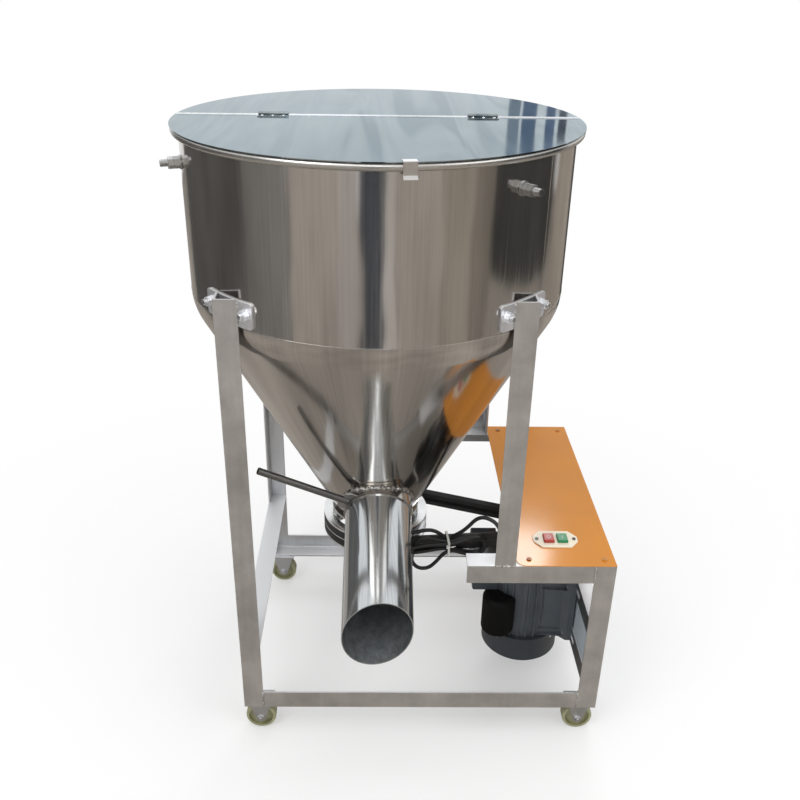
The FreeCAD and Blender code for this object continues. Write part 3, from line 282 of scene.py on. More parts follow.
def satin_steel(name, colour, rough=0.38, grain=90.0, contrast=0.12):
    """Satin steel with mill mottling, cooler towards the rear and with a painted highlight where it faces up."""
    front_y, rear_y = 0.05, 0.25
    cool = (0.76, 0.80, 0.85)
    # Painted highlight: near-white colour that faces pointing up take, with less metal, for the light from above
    ground = (0.78, 0.79, 0.81)
    material, tree, shader, coords = new_material(name)
    mottle = noise(tree, coords, 14.0, 5.0, 0.6)
    scratch = noise(tree, stretched(tree, coords, (grain, grain, 6.0)), 1.0, 3.0)
    dark, light = shade(colour, 1 - contrast * 1.6), shade(colour, 1 + contrast)
    tone = ramp(tree, mottle, [(0.32, dark), (0.68, light)])
    lines = ramp(tree, scratch, [(0.3, grey(0.90)), (0.7, grey(1.06))])
    top_highlight = top_highlight_mask(tree)
    rear = to_range(tree, component(tree, coords, "Y"), 0.0, 1.0, front_y, rear_y)
    tinted = mixed(tree, rear, tone, mixed(tree, 0.6, tone, cool))
    # Painted highlight mixed onto the faces that point up
    with_top_highlight = mixed(tree, top_highlight, mixed(tree, 0.6, tinted, lines, "MULTIPLY"), ground)
    roughness = to_range(tree, mottle, rough - 0.06, rough + 0.10)
    set_surface(tree, shader, with_top_highlight, between(tree, top_highlight, 0.85, 0.35), roughness)
    bump(tree, shader, scratch, 0.12, 0.0004)
    return material


def lid_steel():
    """Pale polished sheet with a bluish tone and soft darker and lighter streaks painted into its colour: painted
    reflections, as thin sheet that isn't quite flat shows them.
    """
    material, tree, shader, coords = new_material("lid_polished")
    cloud = noise(tree, stretched(tree, coords, (9.0, 2.2, 1.0)), 1.0, 3.0, 0.5, 0.6)
    # Painted reflection: the bluish tone stands for the sky the lid reflects
    tone = ramp(tree, cloud, [(0.30, (0.31, 0.34, 0.35)),
                              (0.55, (0.375, 0.41, 0.42)),
                              (0.75, (0.44, 0.475, 0.48))])
    # Painted reflection: dark bluish and white bands across the lid stand for the room and window it reflects
    reflection_streak = noise(tree, stretched(tree, coords, (11.0, 0.9, 1.0)), 1.0, 2.0, 0.45, 1.4)
    dark = ramp(tree, reflection_streak, [(0.32, (0.50, 0.57, 0.62)), (0.40, (0.84, 0.87, 0.89)),
                               (0.50, (1.0, 1.0, 1.0)), (0.58, (0.82, 0.85, 0.88)),
                               (0.64, (0.95, 0.97, 0.98)), (0.74, (0.72, 0.77, 0.81))])
    painted_reflections = mixed(tree, 1.0, tone, dark, "MULTIPLY")
    set_surface(tree, shader, painted_reflections, 1.0, to_range(tree, cloud, 0.05, 0.11))
    shader.inputs["Specular Tint"].default_value = (0.76, 0.83, 0.87, 1.0)
    waves = noise(tree, stretched(tree, coords, (5.0, 2.0, 1.0)), 1.0, 1.0)
    bump(tree, shader, waves, 0.25, 0.003)
    return material


def bright_steel(name, colour=(0.62, 0.62, 0.61), rough=0.22, metal=1.0, speck_scale=220.0):
    """Bright plated fasteners and fittings."""
    material, tree, shader, coords = new_material(name)
    speck = noise(tree, coords, speck_scale, 4.0, 0.6)
    tone = ramp(tree, speck, [(0.35, shade(colour, 0.75)), (0.65, colour)])
    set_surface(tree, shader, tone, metal, to_range(tree, speck, rough - 0.06, rough + 0.12))
    bump(tree, shader, speck, 0.08, 0.0002)
    return material


def turned_metal(name, colour, rough):
    """Turned metal with fine rings about an upright axis."""
    material, tree, shader, coords = new_material(name)
    rings = noise(tree, stretched(tree, coords, (12.0, 12.0, 900.0)), 1.0, 3.0)
    tone = ramp(tree, rings, [(0.3, shade(colour, 0.72)), (0.7, colour)])
    set_surface(tree, shader, tone, 1.0, to_range(tree, rings, rough - 0.08, rough + 0.08))
    bump(tree, shader, rings, 0.1, 0.0003)
    return material


def weld_metal(name, dark, middle, light):
    """Heat-tinted weld bead."""
    material, tree, shader, coords = new_material(name)
    speck = noise(tree, coords, 200.0, 5.0, 0.75)
    tone = ramp(tree, speck, [(0.38, dark), (0.5, middle), (0.6, light)])
    set_surface(tree, shader, tone, 0.9, 0.38)
    bump(tree, shader, speck, 0.8, 0.002)
    return material


def painted(name, colour, rough, speck_scale, spread, grain, coat=0.0, gloss=0.5):
    """Painted or powder-coated sheet with orange-peel bump."""
    material, tree, shader, coords = new_material(name)
    cloud = noise(tree, coords, 7.0, 4.0, 0.55)
    tone = ramp(tree, cloud, [(0.3, shade(colour, 1 - spread)), (0.7, shade(colour, 1 + spread))])
    set_surface(tree, shader, tone, 0.0, to_range(tree, cloud, rough - 0.05, rough + 0.07))
    shader.inputs["Specular IOR Level"].default_value = gloss
    shader.inputs["Coat Weight"].default_value = coat
    shader.inputs["Coat Roughness"].default_value = 0.13
    bump(tree, shader, noise(tree, coords, speck_scale, 2.0), grain, 0.0006)
    return material


def plastic(name, colour, rough=0.4, spread=0.05, gloss=0.5):
    """Moulded plastic or rubber with a fine skin."""
    material, tree, shader, coords = new_material(name)
    cloud = noise(tree, coords, 45.0, 4.0, 0.6)
    tone = ramp(tree, cloud, [(0.3, shade(colour, 1 - spread)), (0.7, shade(colour, 1 + spread))])
    set_surface(tree, shader, tone, 0.0, to_range(tree, cloud, rough - 0.05, rough + 0.08))
    shader.inputs["Specular IOR Level"].default_value = gloss
    bump(tree, shader, noise(tree, coords, 700.0, 2.0), 0.05, 0.0002)
    return material


def screw_paint():
    """Bronzed screws by the hopper, dark ones in the switch plate and painted ones along the outer edge."""
    inner_x, outer_x = 0.31, 0.42
    paint = (0.62, 0.245, 0.035)
    material, tree, shader, coords = new_material("cover_screw_finish")
    outer = math_node(tree, "GREATER_THAN", component(tree, coords, "X"), outer_x)
    inner = math_node(tree, "LESS_THAN", component(tree, coords, "X"), inner_x)
    speck = noise(tree, coords, 240.0, 3.0)
    dark = ramp(tree, speck, [(0.3, grey(0.05)), (0.7, grey(0.16))])
    bronze = ramp(tree, speck, [(0.3, (0.16, 0.06, 0.03)), (0.7, (0.42, 0.22, 0.12))])
    tone = mixed(tree, outer, mixed(tree, inner, dark, bronze), paint)
    set_surface(tree, shader, tone, between(tree, outer, 0.8, 0.0), 0.36)
    bump(tree, shader, speck, 0.1, 0.0003)
    return material


def make_materials():
    """Materials by slot name, with the variants that single nodes and added pieces take."""
    enamel = {"rough": 0.34, "speck_scale": 220.0, "spread": 0.15, "grain": 0.12}
    return {
        "frame_steel": satin_steel("frame_satin", (0.51, 0.495, 0.48)),
        "hopper_steel": hopper_steel(),
        "lid_steel": lid_steel(),
        "inner_steel": satin_steel("inner_satin", (0.34, 0.335, 0.32), rough=0.3, grain=60.0),
        # Painted light: much lighter copy of the satin steel, standing for the bright light and reflection the saddles
        # catch
        "saddle_steel": satin_steel("saddle_painted_light", (0.80, 0.80, 0.83), rough=0.34, grain=60.0),
        # Painted highlight: near-white, half-metal finish so bolts, rivets and screws show bright lit facets
        "bolt_steel": bright_steel("bolt_painted_highlight", (0.94, 0.96, 1.0), rough=0.18, metal=0.6),
        "plate_blue": painted("plate_primer", (0.50, 0.56, 0.61), rough=0.42, speck_scale=60.0,
                              spread=0.18, grain=0.1),
        "pulley_metal": turned_metal("pulley_turned", (0.86, 0.87, 0.88), rough=0.2),
        "bearing_steel": bright_steel("bearing_bright"),
        "bearing_iron": painted("bearing_cast", (0.10, 0.11, 0.12), rough=0.5, speck_scale=300.0,
                                spread=0.1, grain=0.25),
        "belt_rubber": plastic("belt_rubber", (0.012, 0.012, 0.013), rough=0.55),
        "motor_black": painted("motor_enamel", (0.042, 0.050, 0.060), **enamel),
        "fan_plastic": plastic("fan_plastic", grey(0.02)),
        "cover_orange": painted("cover_powder", (0.64, 0.245, 0.03), rough=0.48, speck_scale=260.0,
                                spread=0.06, grain=0.03, coat=0.45, gloss=0.1),
        "switch_cream": plastic("switch_cream", (0.84, 0.76, 0.60), rough=0.35),
        "button_red": plastic("button_red", (0.44, 0.04, 0.03), rough=0.3),
        "button_green": plastic("button_green", (0.015, 0.235, 0.09), rough=0.3),
        "cord_black": plastic("cord_sheath", (0.010, 0.010, 0.011), rough=0.42),
        "tie_white": plastic("tie_nylon", (0.62, 0.61, 0.58)),
        "wheel_nylon": plastic("wheel_nylon", (0.30, 0.295, 0.17), rough=0.45, spread=0.15),
        "fork_zinc": satin_steel("fork_zinc", grey(0.42), rough=0.35),
        "weld": weld_metal("weld_bead", (0.05, 0.045, 0.04), (0.40, 0.38, 0.36), grey(0.92)),
        "weld_bright": weld_metal("weld_bright", (0.22, 0.21, 0.20), (0.60, 0.59, 0.58), grey(0.98)),
        "cover_screws": screw_paint(),
        # Painted shade: dark copy of the satin steel for the motor rails, which lie in shade
        "rail_painted_shade": satin_steel("rail_satin", grey(0.22)),
        # Painted highlight: pale, little-metal finish so the lid's fold shows as a bright line
        "fold": bright_steel("fold_painted_highlight", (0.80, 0.82, 0.84), rough=0.3, metal=0.3, speck_scale=6.0),
        "rod": bright_steel("rod_dull", grey(0.20), rough=0.34),
        # Painted highlight: near-white, hardly metal finish for the guide arm nuts, standing for their bright lit
        # facets
        "nut": bright_steel("nut_painted_highlight", (0.95, 0.96, 0.98), rough=0.25, metal=0.1),
        "rim": bright_steel("rim_polished", (0.56, 0.55, 0.53), rough=0.24, speck_scale=3.0),
        "clip": satin_steel("clip_satin", (0.42, 0.40, 0.37), rough=0.3, grain=60.0),
        # Painted light: lighter copy of the motor enamel for the stator, which lies in shadow
        "stator_painted_light": painted("stator_enamel", (0.085, 0.098, 0.112), **enamel),
        "spout": spout_steel(),
        "capacitor": plastic("capacitor_black", grey(0.004), rough=0.6, gloss=0.15),
        "thread": bright_steel("thread_bright", grey(0.50), rough=0.3),
        "mark_white": plastic("mark_white", (0.85, 0.85, 0.83)),
    }


def dress_nodes(materials):
    """Give every carried-over node the material of its slot, or its own variant of it."""
    # The stator, motor rail and guide arm nut variants are lighter or darker copies that paint light or shade
    variants = {"spout_tube": "spout", "capacitor_case": "capacitor", "motor_housing": "stator_painted_light",
                "lid_clip": "clip", "cover_screws": "cover_screws", "motor_rails": "rail_painted_shade",
                "guide_arms": "nut", "gate_rod": "rod"}
    for entry in frame["record"]["subparts"]:
        obj = nodes[entry["node"]]
        obj.data.materials.clear()
        obj.data.materials.append(materials[variants.get(entry["node"], entry["material_slot"])])


# Pieces


def make_piece(name, builder, material, body, smooth=True):
    """Object from a bmesh builder, with its material, slot and body."""
    mesh = bpy.data.meshes.new(name)
    bm = bmesh.new()
    builder(bm)
    bmesh.ops.recalc_face_normals(bm, faces=bm.faces)
    for face in bm.faces:
        face.smooth = smooth
    bm.to_mesh(mesh)
    bm.free()
    obj = bpy.data.objects.new(name, mesh)
    bpy.context.scene.collection.objects.link(obj)
    mesh.materials.append(material)
    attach(obj, body)
    return obj


def across(direction):
    """Two unit vectors across a direction."""
    side = direction.orthogonal().normalized()
    return side, direction.cross(side).normalized()


def circle(centre, side, other, radius, count):
    """Points round a circle, from the two directions that span it."""
    turns = [2 * math.pi * i / count for i in range(count)]
    return [centre + (side * math.cos(turn) + other * math.sin(turn)) * radius for turn in turns]


def add_ring(bm, points):
    """Vertices at points."""
    return [bm.verts.new(point) for point in points]


def matched(low, high):
    """The high ring's vertices, turned and ordered to meet the low ring's without a twist."""
    count = len(low)
    start = min(range(count), key=lambda s: (high[s].co - low[0].co).length)
    forward = (high[(start + 1) % count].co - low[1].co).length
    backward = (high[(start - 1) % count].co - low[1].co).length
    step = -1 if forward > backward else 1
    return [high[(start + step * k) % count] for k in range(count)]


def skin(bm, rings, closed=False):
    """Faces between rings, closed on themselves or with a cap at both ends."""
    count = len(rings[0])
    pairs = list(zip(rings, rings[1:]))
    if closed:
        pairs.append((rings[-1], rings[0]))
    for low, upper in pairs:
        high = matched(low, upper)
        for k in range(count):
            j = (k + 1) % count
            bm.faces.new((low[k], low[j], high[j], high[k]))
    if not closed:
        bm.faces.new(rings[0][::-1])
        bm.faces.new(rings[-1])


def lathe(bm, base, direction, profile, count=24):
    """Solid of revolution about a line; the profile is (distance along, radius), closed at both ends."""
    side, other = across(direction)
    rings = [add_ring(bm, circle(base + direction * along, side, other, radius, count))
             for along, radius in profile]
    skin(bm, rings)


def thread(bm, base, direction, radius, length, pitch, depth):
    """Threaded stud end as close rings with a chamfered tip."""
    root = radius - depth
    profile = [(0.0, root)]
    for i in range(int(length / pitch)):
        profile.append(((i + 0.25) * pitch, radius))
        profile.append(((i + 0.75) * pitch, root))
    profile.append((length, root))
    profile.append((length + 0.4 * MM, radius - 2.2 * depth))
    lathe(bm, base, direction, profile, 20)


def bead(bm, points, radius, closed=False, lump=0.25, sides=8):
    """Lumpy weld bead along points."""
    end_taper = 0.45
    count = len(points)
    rings = []
    for i, point in enumerate(points):
        before = points[i - 1] if closed or i > 0 else points[i]
        after = points[(i + 1) % count] if closed or i < count - 1 else points[i]
        side, other = across((after - before).normalized())
        size = radius * (1 + lump * (rng.random() - 0.5) + lump * math.sin(i * 2.1))
        if not closed and i in (0, count - 1):
            size *= end_taper
        rings.append(add_ring(bm, circle(point, side, other, size, sides)))
    skin(bm, rings, closed)


def along(start, end, spacing):
    """Evenly spaced points between two points."""
    start, end = Vector(start), Vector(end)
    steps = max(2, round((end - start).length / spacing))
    return [start.lerp(end, i / steps) for i in range(steps + 1)]


# Cord, with sizes in millimetres


cord_diameter = 8.0
layer_pitch = 8.6
layer_start = 0.5
hank_left, hank_middle, hank_right = 24.0, 152.0, 236.0
lobe_r = 25.0
left_lift = 4.0
waist_rise = 9.5
drive_z = 368.0


def belt_line():
    """Point on the belts' front face, the direction along it and the direction out of it."""
    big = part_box("driven_pulley")
    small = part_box("motor_pulley")
    big_r = (big[1][1] - big[0][1]) / 2
    small_r = (small[1][1] - small[0][1]) / 2
    motor = Vector(joints["motor_spin"]["pos_m"])
    distance = math.hypot(motor.x, motor.y)
    normal = math.atan2(motor.y, motor.x) - math.acos((big_r - small_r) / distance)
    out = Vector((math.cos(normal), math.sin(normal), 0.0))
    return out * big_r, Vector((-out.y, out.x, 0.0)), out


def belt_place(x, rise, layer):
    """Point in a layer of the bundle at an x and a height from the belts' middle, in millimetres."""
    start, heading, _ = belt_line()
    face_y = start.y + (x * MM - start.x) * heading.y / heading.x
    return Vector((x * MM, face_y - (layer_start + layer_pitch * (layer + 0.5)) * MM, (drive_z + rise) * MM))


def fold(x, rise, side, layers, upwards):
    """Points of a half turn at one end of the bundle, from one layer to another."""
    steps = 6
    reach = lobe_r / math.cos(math.pi / steps / 2)
    points = []
    for i in range(steps + 1):
        angle = math.pi * i / steps
        height = -math.cos(angle) if upwards else math.cos(angle)
        layer = layers[0] + (layers[1] - layers[0]) * i / steps
        points.append(belt_place(x + side * math.sin(angle) * reach, rise + height * reach, layer))
    return points


def in_layer(layer, spots):
    """Points of one layer."""
    return [belt_place(x, rise, layer) for x, rise in spots]


def cord_route():
    """Centreline points of the supply cord, from the switch box to the plug."""
    left_x = hank_left + cord_diameter / 2 + lobe_r
    right_x = hank_right - cord_diameter / 2 - lobe_r
    gland = [(315.5, -202, 422), (281.5, -202, 422), (254, -180, 446), (243, -166, 468), (211, -145, 469),
             (186, -127, 420)]
    points = [Vector(p) * MM for p in gland]
    points += in_layer(0, [(166, 20), (hank_middle, waist_rise + 2), (136, 28), (118, 38), (96, 37), (74, 31)])
    points += fold(left_x, left_lift, -1, (0, 0), False)
    points += in_layer(0, [(80, -19), (112, -15), (hank_middle, -waist_rise), (184, -19)])
    points += fold(right_x, 0, 1, (0, 1), True)
    points += in_layer(1, [(184, 19), (hank_middle, waist_rise), (124, 19), (103.5, 25), (86, 20), (78.5, 4)])
    points += in_layer(1, [(78, -18), (76.8, -34), (90.2, -53), (113.4, -55), (129.9, -38.4), (146, -16),
                           (164, -10.5), (184, -19)])
    points += fold(right_x, 0, 1, (1, 2), True)
    points += in_layer(2, [(184, 19), (hank_middle, waist_rise), (112, 13), (80, 7), (50, 1), (hank_left + 2, 0)])
    return points


def nurbs_curve(name, points, radius, material, body):
    """Open smooth curve with a round section."""
    data = bpy.data.curves.new(name, "CURVE")
    data.dimensions = "3D"
    data.resolution_u = 6
    data.bevel_depth = radius
    data.bevel_resolution = 4
    data.use_fill_caps = True
    spline = data.splines.new("NURBS")
    spline.points.add(len(points) - 1)
    for spot, point in zip(spline.points, points):
        spot.co = (*point, 1.0)
    spline.order_u = 3
    spline.use_endpoint_u = True
    data.materials.append(material)
    obj = bpy.data.objects.new(name, data)
    bpy.context.scene.collection.objects.link(obj)
    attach(obj, body)
    return obj


def add_cord(materials):
    """Supply cord in its tied bundle, running from its strain relief."""
    points = cord_route()
    cord = nurbs_curve("supply_lead", points, cord_diameter / 2 * MM, materials["cord_black"],
                       "frame")
    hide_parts("supply_cord", "cord_hank", "cord_tail")


# Welds, threads and small details


def add_spout_weld(materials):
    """Bead where the spout stub meets the cone."""
    corner_z, stub_r = 902.7, 68.0
    cone_slope = math.tan(math.radians(28.3))
    deepest, halvings = -230.0, 30
    proud = 0.8
    axis = Vector(outlet["axis"])
    side = Vector((1, 0, 0))
    centre = Vector(outlet["pos_m"]) / MM

    def gap(point):
        return math.hypot(point.x, point.y) - (wall_r - (corner_z - point.z) * cone_slope)

    points = []
    for spot in circle(centre, side, axis.cross(side), stub_r, 120):
        low, high = deepest, 0.0
        for _ in range(halvings):
            middle = (low + high) / 2
            if gap(spot + axis * middle) > 0:
                high = middle
            else:
                low = middle
        out = (spot - centre).normalized()
        points.append((spot + axis * (high + proud) + out * proud) * MM)
    make_piece("spout_weld", lambda bm: bead(bm, points, 3.6 * MM, True, 0.6), materials["weld"],
               "frame")


def frame_weld_lines():
    """Start and end of each visible weld on the frame, in metres."""
    tip, inset = 1 * MM, 2 * MM
    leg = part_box("frame_leg_left_front")
    left, top = leg[0][0], leg[1][2]
    width = leg[1][0] - left
    front = leg[0][1]
    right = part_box("stand_legs")[1][0]
    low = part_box("bottom_rails")[0][2]
    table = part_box("table_beam_front")[1][2]
    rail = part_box("left_side_rail")[1][2]
    right_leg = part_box("frame_leg_right_front")
    leg_start, leg_end = right_leg[0][0], right_leg[1][0]
    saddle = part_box("hopper_saddles")[0][2] + tip
    lines = []
    for sign in (1, -1):
        y = sign * front
        inner = sign * (front + width)
        lines.append(((left + width, y, low + inset), (left + width, y, low + width)))
        lines.append(((right - width, y, low + inset), (right - width, y, low + width)))
        lines.append(((right - width, y, table - width), (right - width, y, table - inset)))
        lines.append(((leg_start + inset, y, table), (leg_end - tip, y, table)))
        lines.append(((left, inner, rail - width), (left, inner, rail - tip)))
        lines.append(((right, inner, table - width), (right, inner, table - tip)))
        for edge, turn in ((left, 1), (leg_end, -1)):
            x, y = edge + turn * width, sign * front + sign * inset
            lines.append(((x, y, saddle), (x, y, top - tip)))
            x, y = edge + turn * inset, inner
            lines.append(((x, y, saddle), (x, y, top - tip)))
    return lines


def add_frame_welds(materials):
    """Short beads at the frame's corners and at the saddles."""
    spots = [along(start, end, 2.2 * MM) for start, end in frame_weld_lines()]

    def build(bm):
        for points in spots:
            bead(bm, points, 1.9 * MM, False, 0.5, 6)

    make_piece("frame_welds", build, materials["weld_bright"], "frame")


def outward(azimuth):
    """Unit vector outwards at an azimuth in degrees."""
    return Vector((math.cos(math.radians(azimuth)), math.sin(math.radians(azimuth)), 0))


def add_hopper_seam(materials):
    """Planished vertical seam of the rolled wall and the seam round the knuckle."""
    seam_azimuth = -38.0
    heights = range(925, 1206, 4)
    knuckle_z = 926.5
    seam_r = (wall_r + 0.1) * MM
    seam = [outward(seam_azimuth) * seam_r + UP * z * MM for z in heights]
    ring = circle(UP * knuckle_z * MM, Vector((1, 0, 0)), Vector((0, 1, 0)), seam_r, 220)

    def build(bm):
        bead(bm, seam, 0.55 * MM, False, 0.2, 6)
        bead(bm, ring, 0.45 * MM, True, 0.2, 6)

    make_piece("hopper_seams", build, materials["hopper_steel"], "frame")


def add_rim_bead(materials):
    """Smooth skin just outside the rolled rim bead."""
    around, section, proud = 288, 24, 0.2 * MM
    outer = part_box("hopper_shell")[1]
    bead_r = (outer[0] - wall_r * MM) / 2
    centre_r = wall_r * MM + bead_r
    centre_z = outer[2] - bead_r

    def build(bm):
        rings = []
        for i in range(around):
            out = outward(360 * i / around)
            centre = out * centre_r + UP * centre_z
            rings.append(add_ring(bm, circle(centre, out, UP, bead_r + proud, section)))
        skin(bm, rings, closed=True)

    make_piece("rim_bead", build, materials["rim"], "frame")


def add_threads(materials):
    """Threads on the saddle bolts and the guide tube arms."""
    leg_x, leg_y, bolt_offset = 269.0, 275.0, 7.4
    corner = math.degrees(math.atan2(leg_y, leg_x))
    legs = (-corner, corner, 180 - corner, corner - 180)
    bolts = [leg + side * bolt_offset for leg in legs for side in (-1, 1)]
    arms = (-50.0, -162.0, 74.0)

    def studs(azimuths, reach, height, radius, length, pitch, depth):
        def build(bm):
            for azimuth in azimuths:
                out = outward(azimuth)
                base = out * reach * MM + UP * height * MM
                thread(bm, base, out, radius * MM, length * MM, pitch * MM, depth * MM)
        return build

    build_arms = studs(arms, reach=374.4, height=1164.0, radius=6.35, length=13.2, pitch=1.75, depth=0.6)
    build_bolts = studs(bolts, reach=366.3, height=956.0, radius=5.3, length=5.8, pitch=1.5, depth=0.5)
    make_piece("arm_threads", build_arms, materials["thread"], "frame", False)
    make_piece("bolt_threads", build_bolts, materials["thread"], "frame", False)


def dome(bm, centre, direction, radius, height):
    """Low domed head."""
    profile = [(-0.2 * MM, radius), (0.35 * height, radius), (0.8 * height, 0.72 * radius),
               (height, 0.3 * radius)]
    lathe(bm, centre, direction, profile, 12)


def add_hinge_rivets(materials):
    """Rivets of the two lid hinges."""
    hinge_x, rivet_pitch, row_offset = 189.0, 19.0, 14.0
    head_r, head_height = 2.6 * MM, 1.1 * MM
    hinge_y = joints["lid_hinge"]["pos_m"][1] / MM
    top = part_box("lid_front")[1][2] + 1.2 * MM

    def build(side):
        def heads(bm):
            for x in (-hinge_x, hinge_x):
                for offset in (-rivet_pitch, 0.0, rivet_pitch):
                    spot = Vector(((x + offset) * MM, (hinge_y + side * row_offset) * MM, top))
                    dome(bm, spot, UP, head_r, head_height)
        return heads

    make_piece("hinge_rivets_rear", build(1), materials["bolt_steel"], "frame")
    make_piece("hinge_rivets_front", build(-1), materials["bolt_steel"], "lid")


def add_lid_fold(materials):
    """Folded lip that stands up a little along the split of the lid's moving half."""
    lid_r = 365.0 * MM
    hinge_near, hinge_far = 161 * MM, 217 * MM
    rise, deep, thick, sunk = 2.2 * MM, 2.2 * MM, 0.5 * MM, 0.1 * MM
    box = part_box("lid_front")
    y = box[1][1] - 0.4 * MM
    z = box[1][2]
    half = math.sqrt(lid_r ** 2 - (abs(y) + deep) ** 2)
    spans = [(-half, -hinge_far), (-hinge_near, hinge_near), (hinge_far, half)]
    section = [(y - deep, z - sunk), (y, z - sunk), (y, z + rise), (y - thick, z + rise)]

    def build(bm):
        for span in spans:
            skin(bm, [add_ring(bm, [(x, *spot) for spot in section]) for x in span])

    make_piece("lid_fold", build, materials["fold"], "lid", False)


def box_piece(bm, low, high):
    """Box between two corners."""
    corners = [bm.verts.new(spot) for spot in product(*zip(low, high))]
    for face in ((0, 1, 3, 2), (4, 6, 7, 5), (0, 4, 5, 1), (2, 3, 7, 6), (0, 2, 6, 4), (1, 5, 7, 3)):
        bm.faces.new([corners[i] for i in face])


def add_button_marks(materials):
    """Off and on marks moulded on the two buttons."""
    off_x, off_y, off_line = 3.4 * MM, 4.6 * MM, 0.7 * MM
    on_x, on_y, on_thick = 0.7 * MM, 5.2 * MM, 0.25 * MM
    for node, body in (("button_stop", "stop_button"), ("button_start", "start_button")):
        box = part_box(node)
        x, y = (box[0][0] + box[1][0]) / 2, (box[0][1] + box[1][1]) / 2
        top = box[1][2]

        def ring(bm):
            spots = circle(Vector((x, y, top)), Vector((off_x, 0, 0)), Vector((0, off_y, 0)), 1.0, 28)
            bead(bm, spots, off_line, True, 0.0, 6)

        def bar(bm):
            box_piece(bm, (x - on_x, y - on_y, top - on_thick), (x + on_x, y + on_y, top + on_thick))

        mark = ring if body == "stop_button" else bar
        make_piece("mark_" + body, mark, materials["mark_white"], body)


def add_screw_slots(materials):
    """Cross slots in the cover and plate screws drawn as black boxes, a painted shade for the dark of the recesses."""
    first_x, edge, cover_head, cover_reach = 297.0 * MM, 20 * MM, 2.5 * MM, 3.2 * MM
    plate_pitch, plate_head, plate_reach = 37.0 * MM, 1.8 * MM, 2.3 * MM
    half, rise, deep = 0.45 * MM, 0.06 * MM, 0.5 * MM
    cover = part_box("pulley_cover")[1]
    side = cover[1] - edge
    columns = (first_x, cover[0] - edge)
    heads = [(x, y, cover[2] + cover_head, cover_reach) for x in columns for y in (side, -side)]
    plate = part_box("switch_plate")
    middle = (plate[0][0] + plate[1][0]) / 2
    row = (plate[0][1] + plate[1][1]) / 2
    heads += [(middle + turn * plate_pitch, row, plate[1][2] + plate_head, plate_reach) for turn in (-1, 1)]

    def build(bm):
        for x, y, z, arm in heads:
            box_piece(bm, (x - arm, y - half, z - deep), (x + arm, y + half, z + rise))
            box_piece(bm, (x - half, y - arm, z - deep), (x + half, y + arm, z + rise))

    # Painted shade: black boxes stand for the shade inside the cross recesses
    make_piece("screw_slots", build, materials["fan_plastic"], "frame", False)


def add_motor_bolts(materials):
    """Tie bolts of the drive-end shield and screws of the fan cowl."""
    bolt_circle_r, cowl_r = 66 * MM, 84.6 * MM
    bolt_head = [(-6 * MM, 4.6 * MM), (4.0 * MM, 4.6 * MM), (4.6 * MM, 3.6 * MM)]
    motor = Vector(joints["motor_spin"]["pos_m"])
    bolt_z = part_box("motor_end_shield")[0][2] + 13.5 * MM
    screw_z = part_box("motor_fan_cowl")[1][2] - 9 * MM

    def build(bm):
        for azimuth in (45, 135, 225, 315):
            out = outward(azimuth)
            lathe(bm, Vector((motor.x, motor.y, bolt_z)) + out * bolt_circle_r, UP, bolt_head, 6)
            dome(bm, Vector((motor.x, motor.y, screw_z)) + out * cowl_r, out, 4.0 * MM, 2.0 * MM)

    make_piece("motor_screws", build, materials["bolt_steel"], "frame", False)


def add_tie_head(materials):
    """Lock head and cut tail of the cable tie."""
    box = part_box("cable_tie")
    corner = Vector(((box[0][0] + box[1][0]) / 2, box[0][1], drive_z * MM))
    head_low = corner + Vector((-3.4, -3.2, 6)) * MM
    head_high = corner + Vector((3.4, 1.4, 12.5)) * MM
    tail = [corner + Vector(step) * MM for step in ((3, -1.5, 9.5), (9, -3.5, 11), (15, -4, 14))]

    def build(bm):
        box_piece(bm, head_low, head_high)
        bead(bm, tail, 1.5 * MM, False, 0.0, 6)

    make_piece("tie_head", build, materials["tie_white"], "frame", False)


# Stage


def stage_sheet(name, corners):
    """Flat four-cornered object of the stage."""
    mesh = bpy.data.meshes.new(name)
    mesh.from_pydata(corners, [], [(0, 1, 2, 3)])
    obj = bpy.data.objects.new(name, mesh)
    bpy.context.scene.collection.objects.link(obj)
    return obj


def flat_square(reach, height):
    """Corners of a level square about the hopper axis."""
    return [(x * reach, y * reach, height) for x, y in ((-1, -1), (1, -1), (1, 1), (-1, 1))]


def add_floor():
    """Pale floor that fades into the white background."""
    floor = stage_sheet("floor", flat_square(30.0, 0))
    floor.location.z = -0.0005
    material, tree, shader, coords = new_material("floor_pale")
    shader.inputs["Base Color"].default_value = (0.93, 0.93, 0.93, 1.0)
    shader.inputs["Roughness"].default_value = 0.9
    shader.inputs["Specular IOR Level"].default_value = 0.0
    fade_to_white(tree, shader, coords)
    floor.data.materials.append(material)


def seen_ray(tree):
    """One for rays that show the background: camera, glossy and transmission."""
    path = tree.nodes.new("ShaderNodeLightPath")
    mirror = math_node(tree, "MAXIMUM", path.outputs["Is Glossy Ray"], path.outputs["Is Transmission Ray"])
    return math_node(tree, "MAXIMUM", path.outputs["Is Camera Ray"], mirror)


def fade_to_white(tree, shader, coords):
    """Let the floor turn into the white background away from the object."""
    distance = vector_math(tree, "LENGTH", coords).outputs["Value"]
    far = to_range(tree, distance, 0.30, 1.0, 0.35, 1.5)
    white = tree.nodes.new("ShaderNodeEmission")
    mix = tree.nodes.new("ShaderNodeMixShader")
    tree.links.new(math_node(tree, "MULTIPLY", far, seen_ray(tree)), mix.inputs["Fac"])
    tree.links.new(shader.outputs["BSDF"], mix.inputs[1])
    tree.links.new(white.outputs["Emission"], mix.inputs[2])
    tree.links.new(mix.outputs["Shader"], tree.nodes["Material Output"].inputs["Surface"])


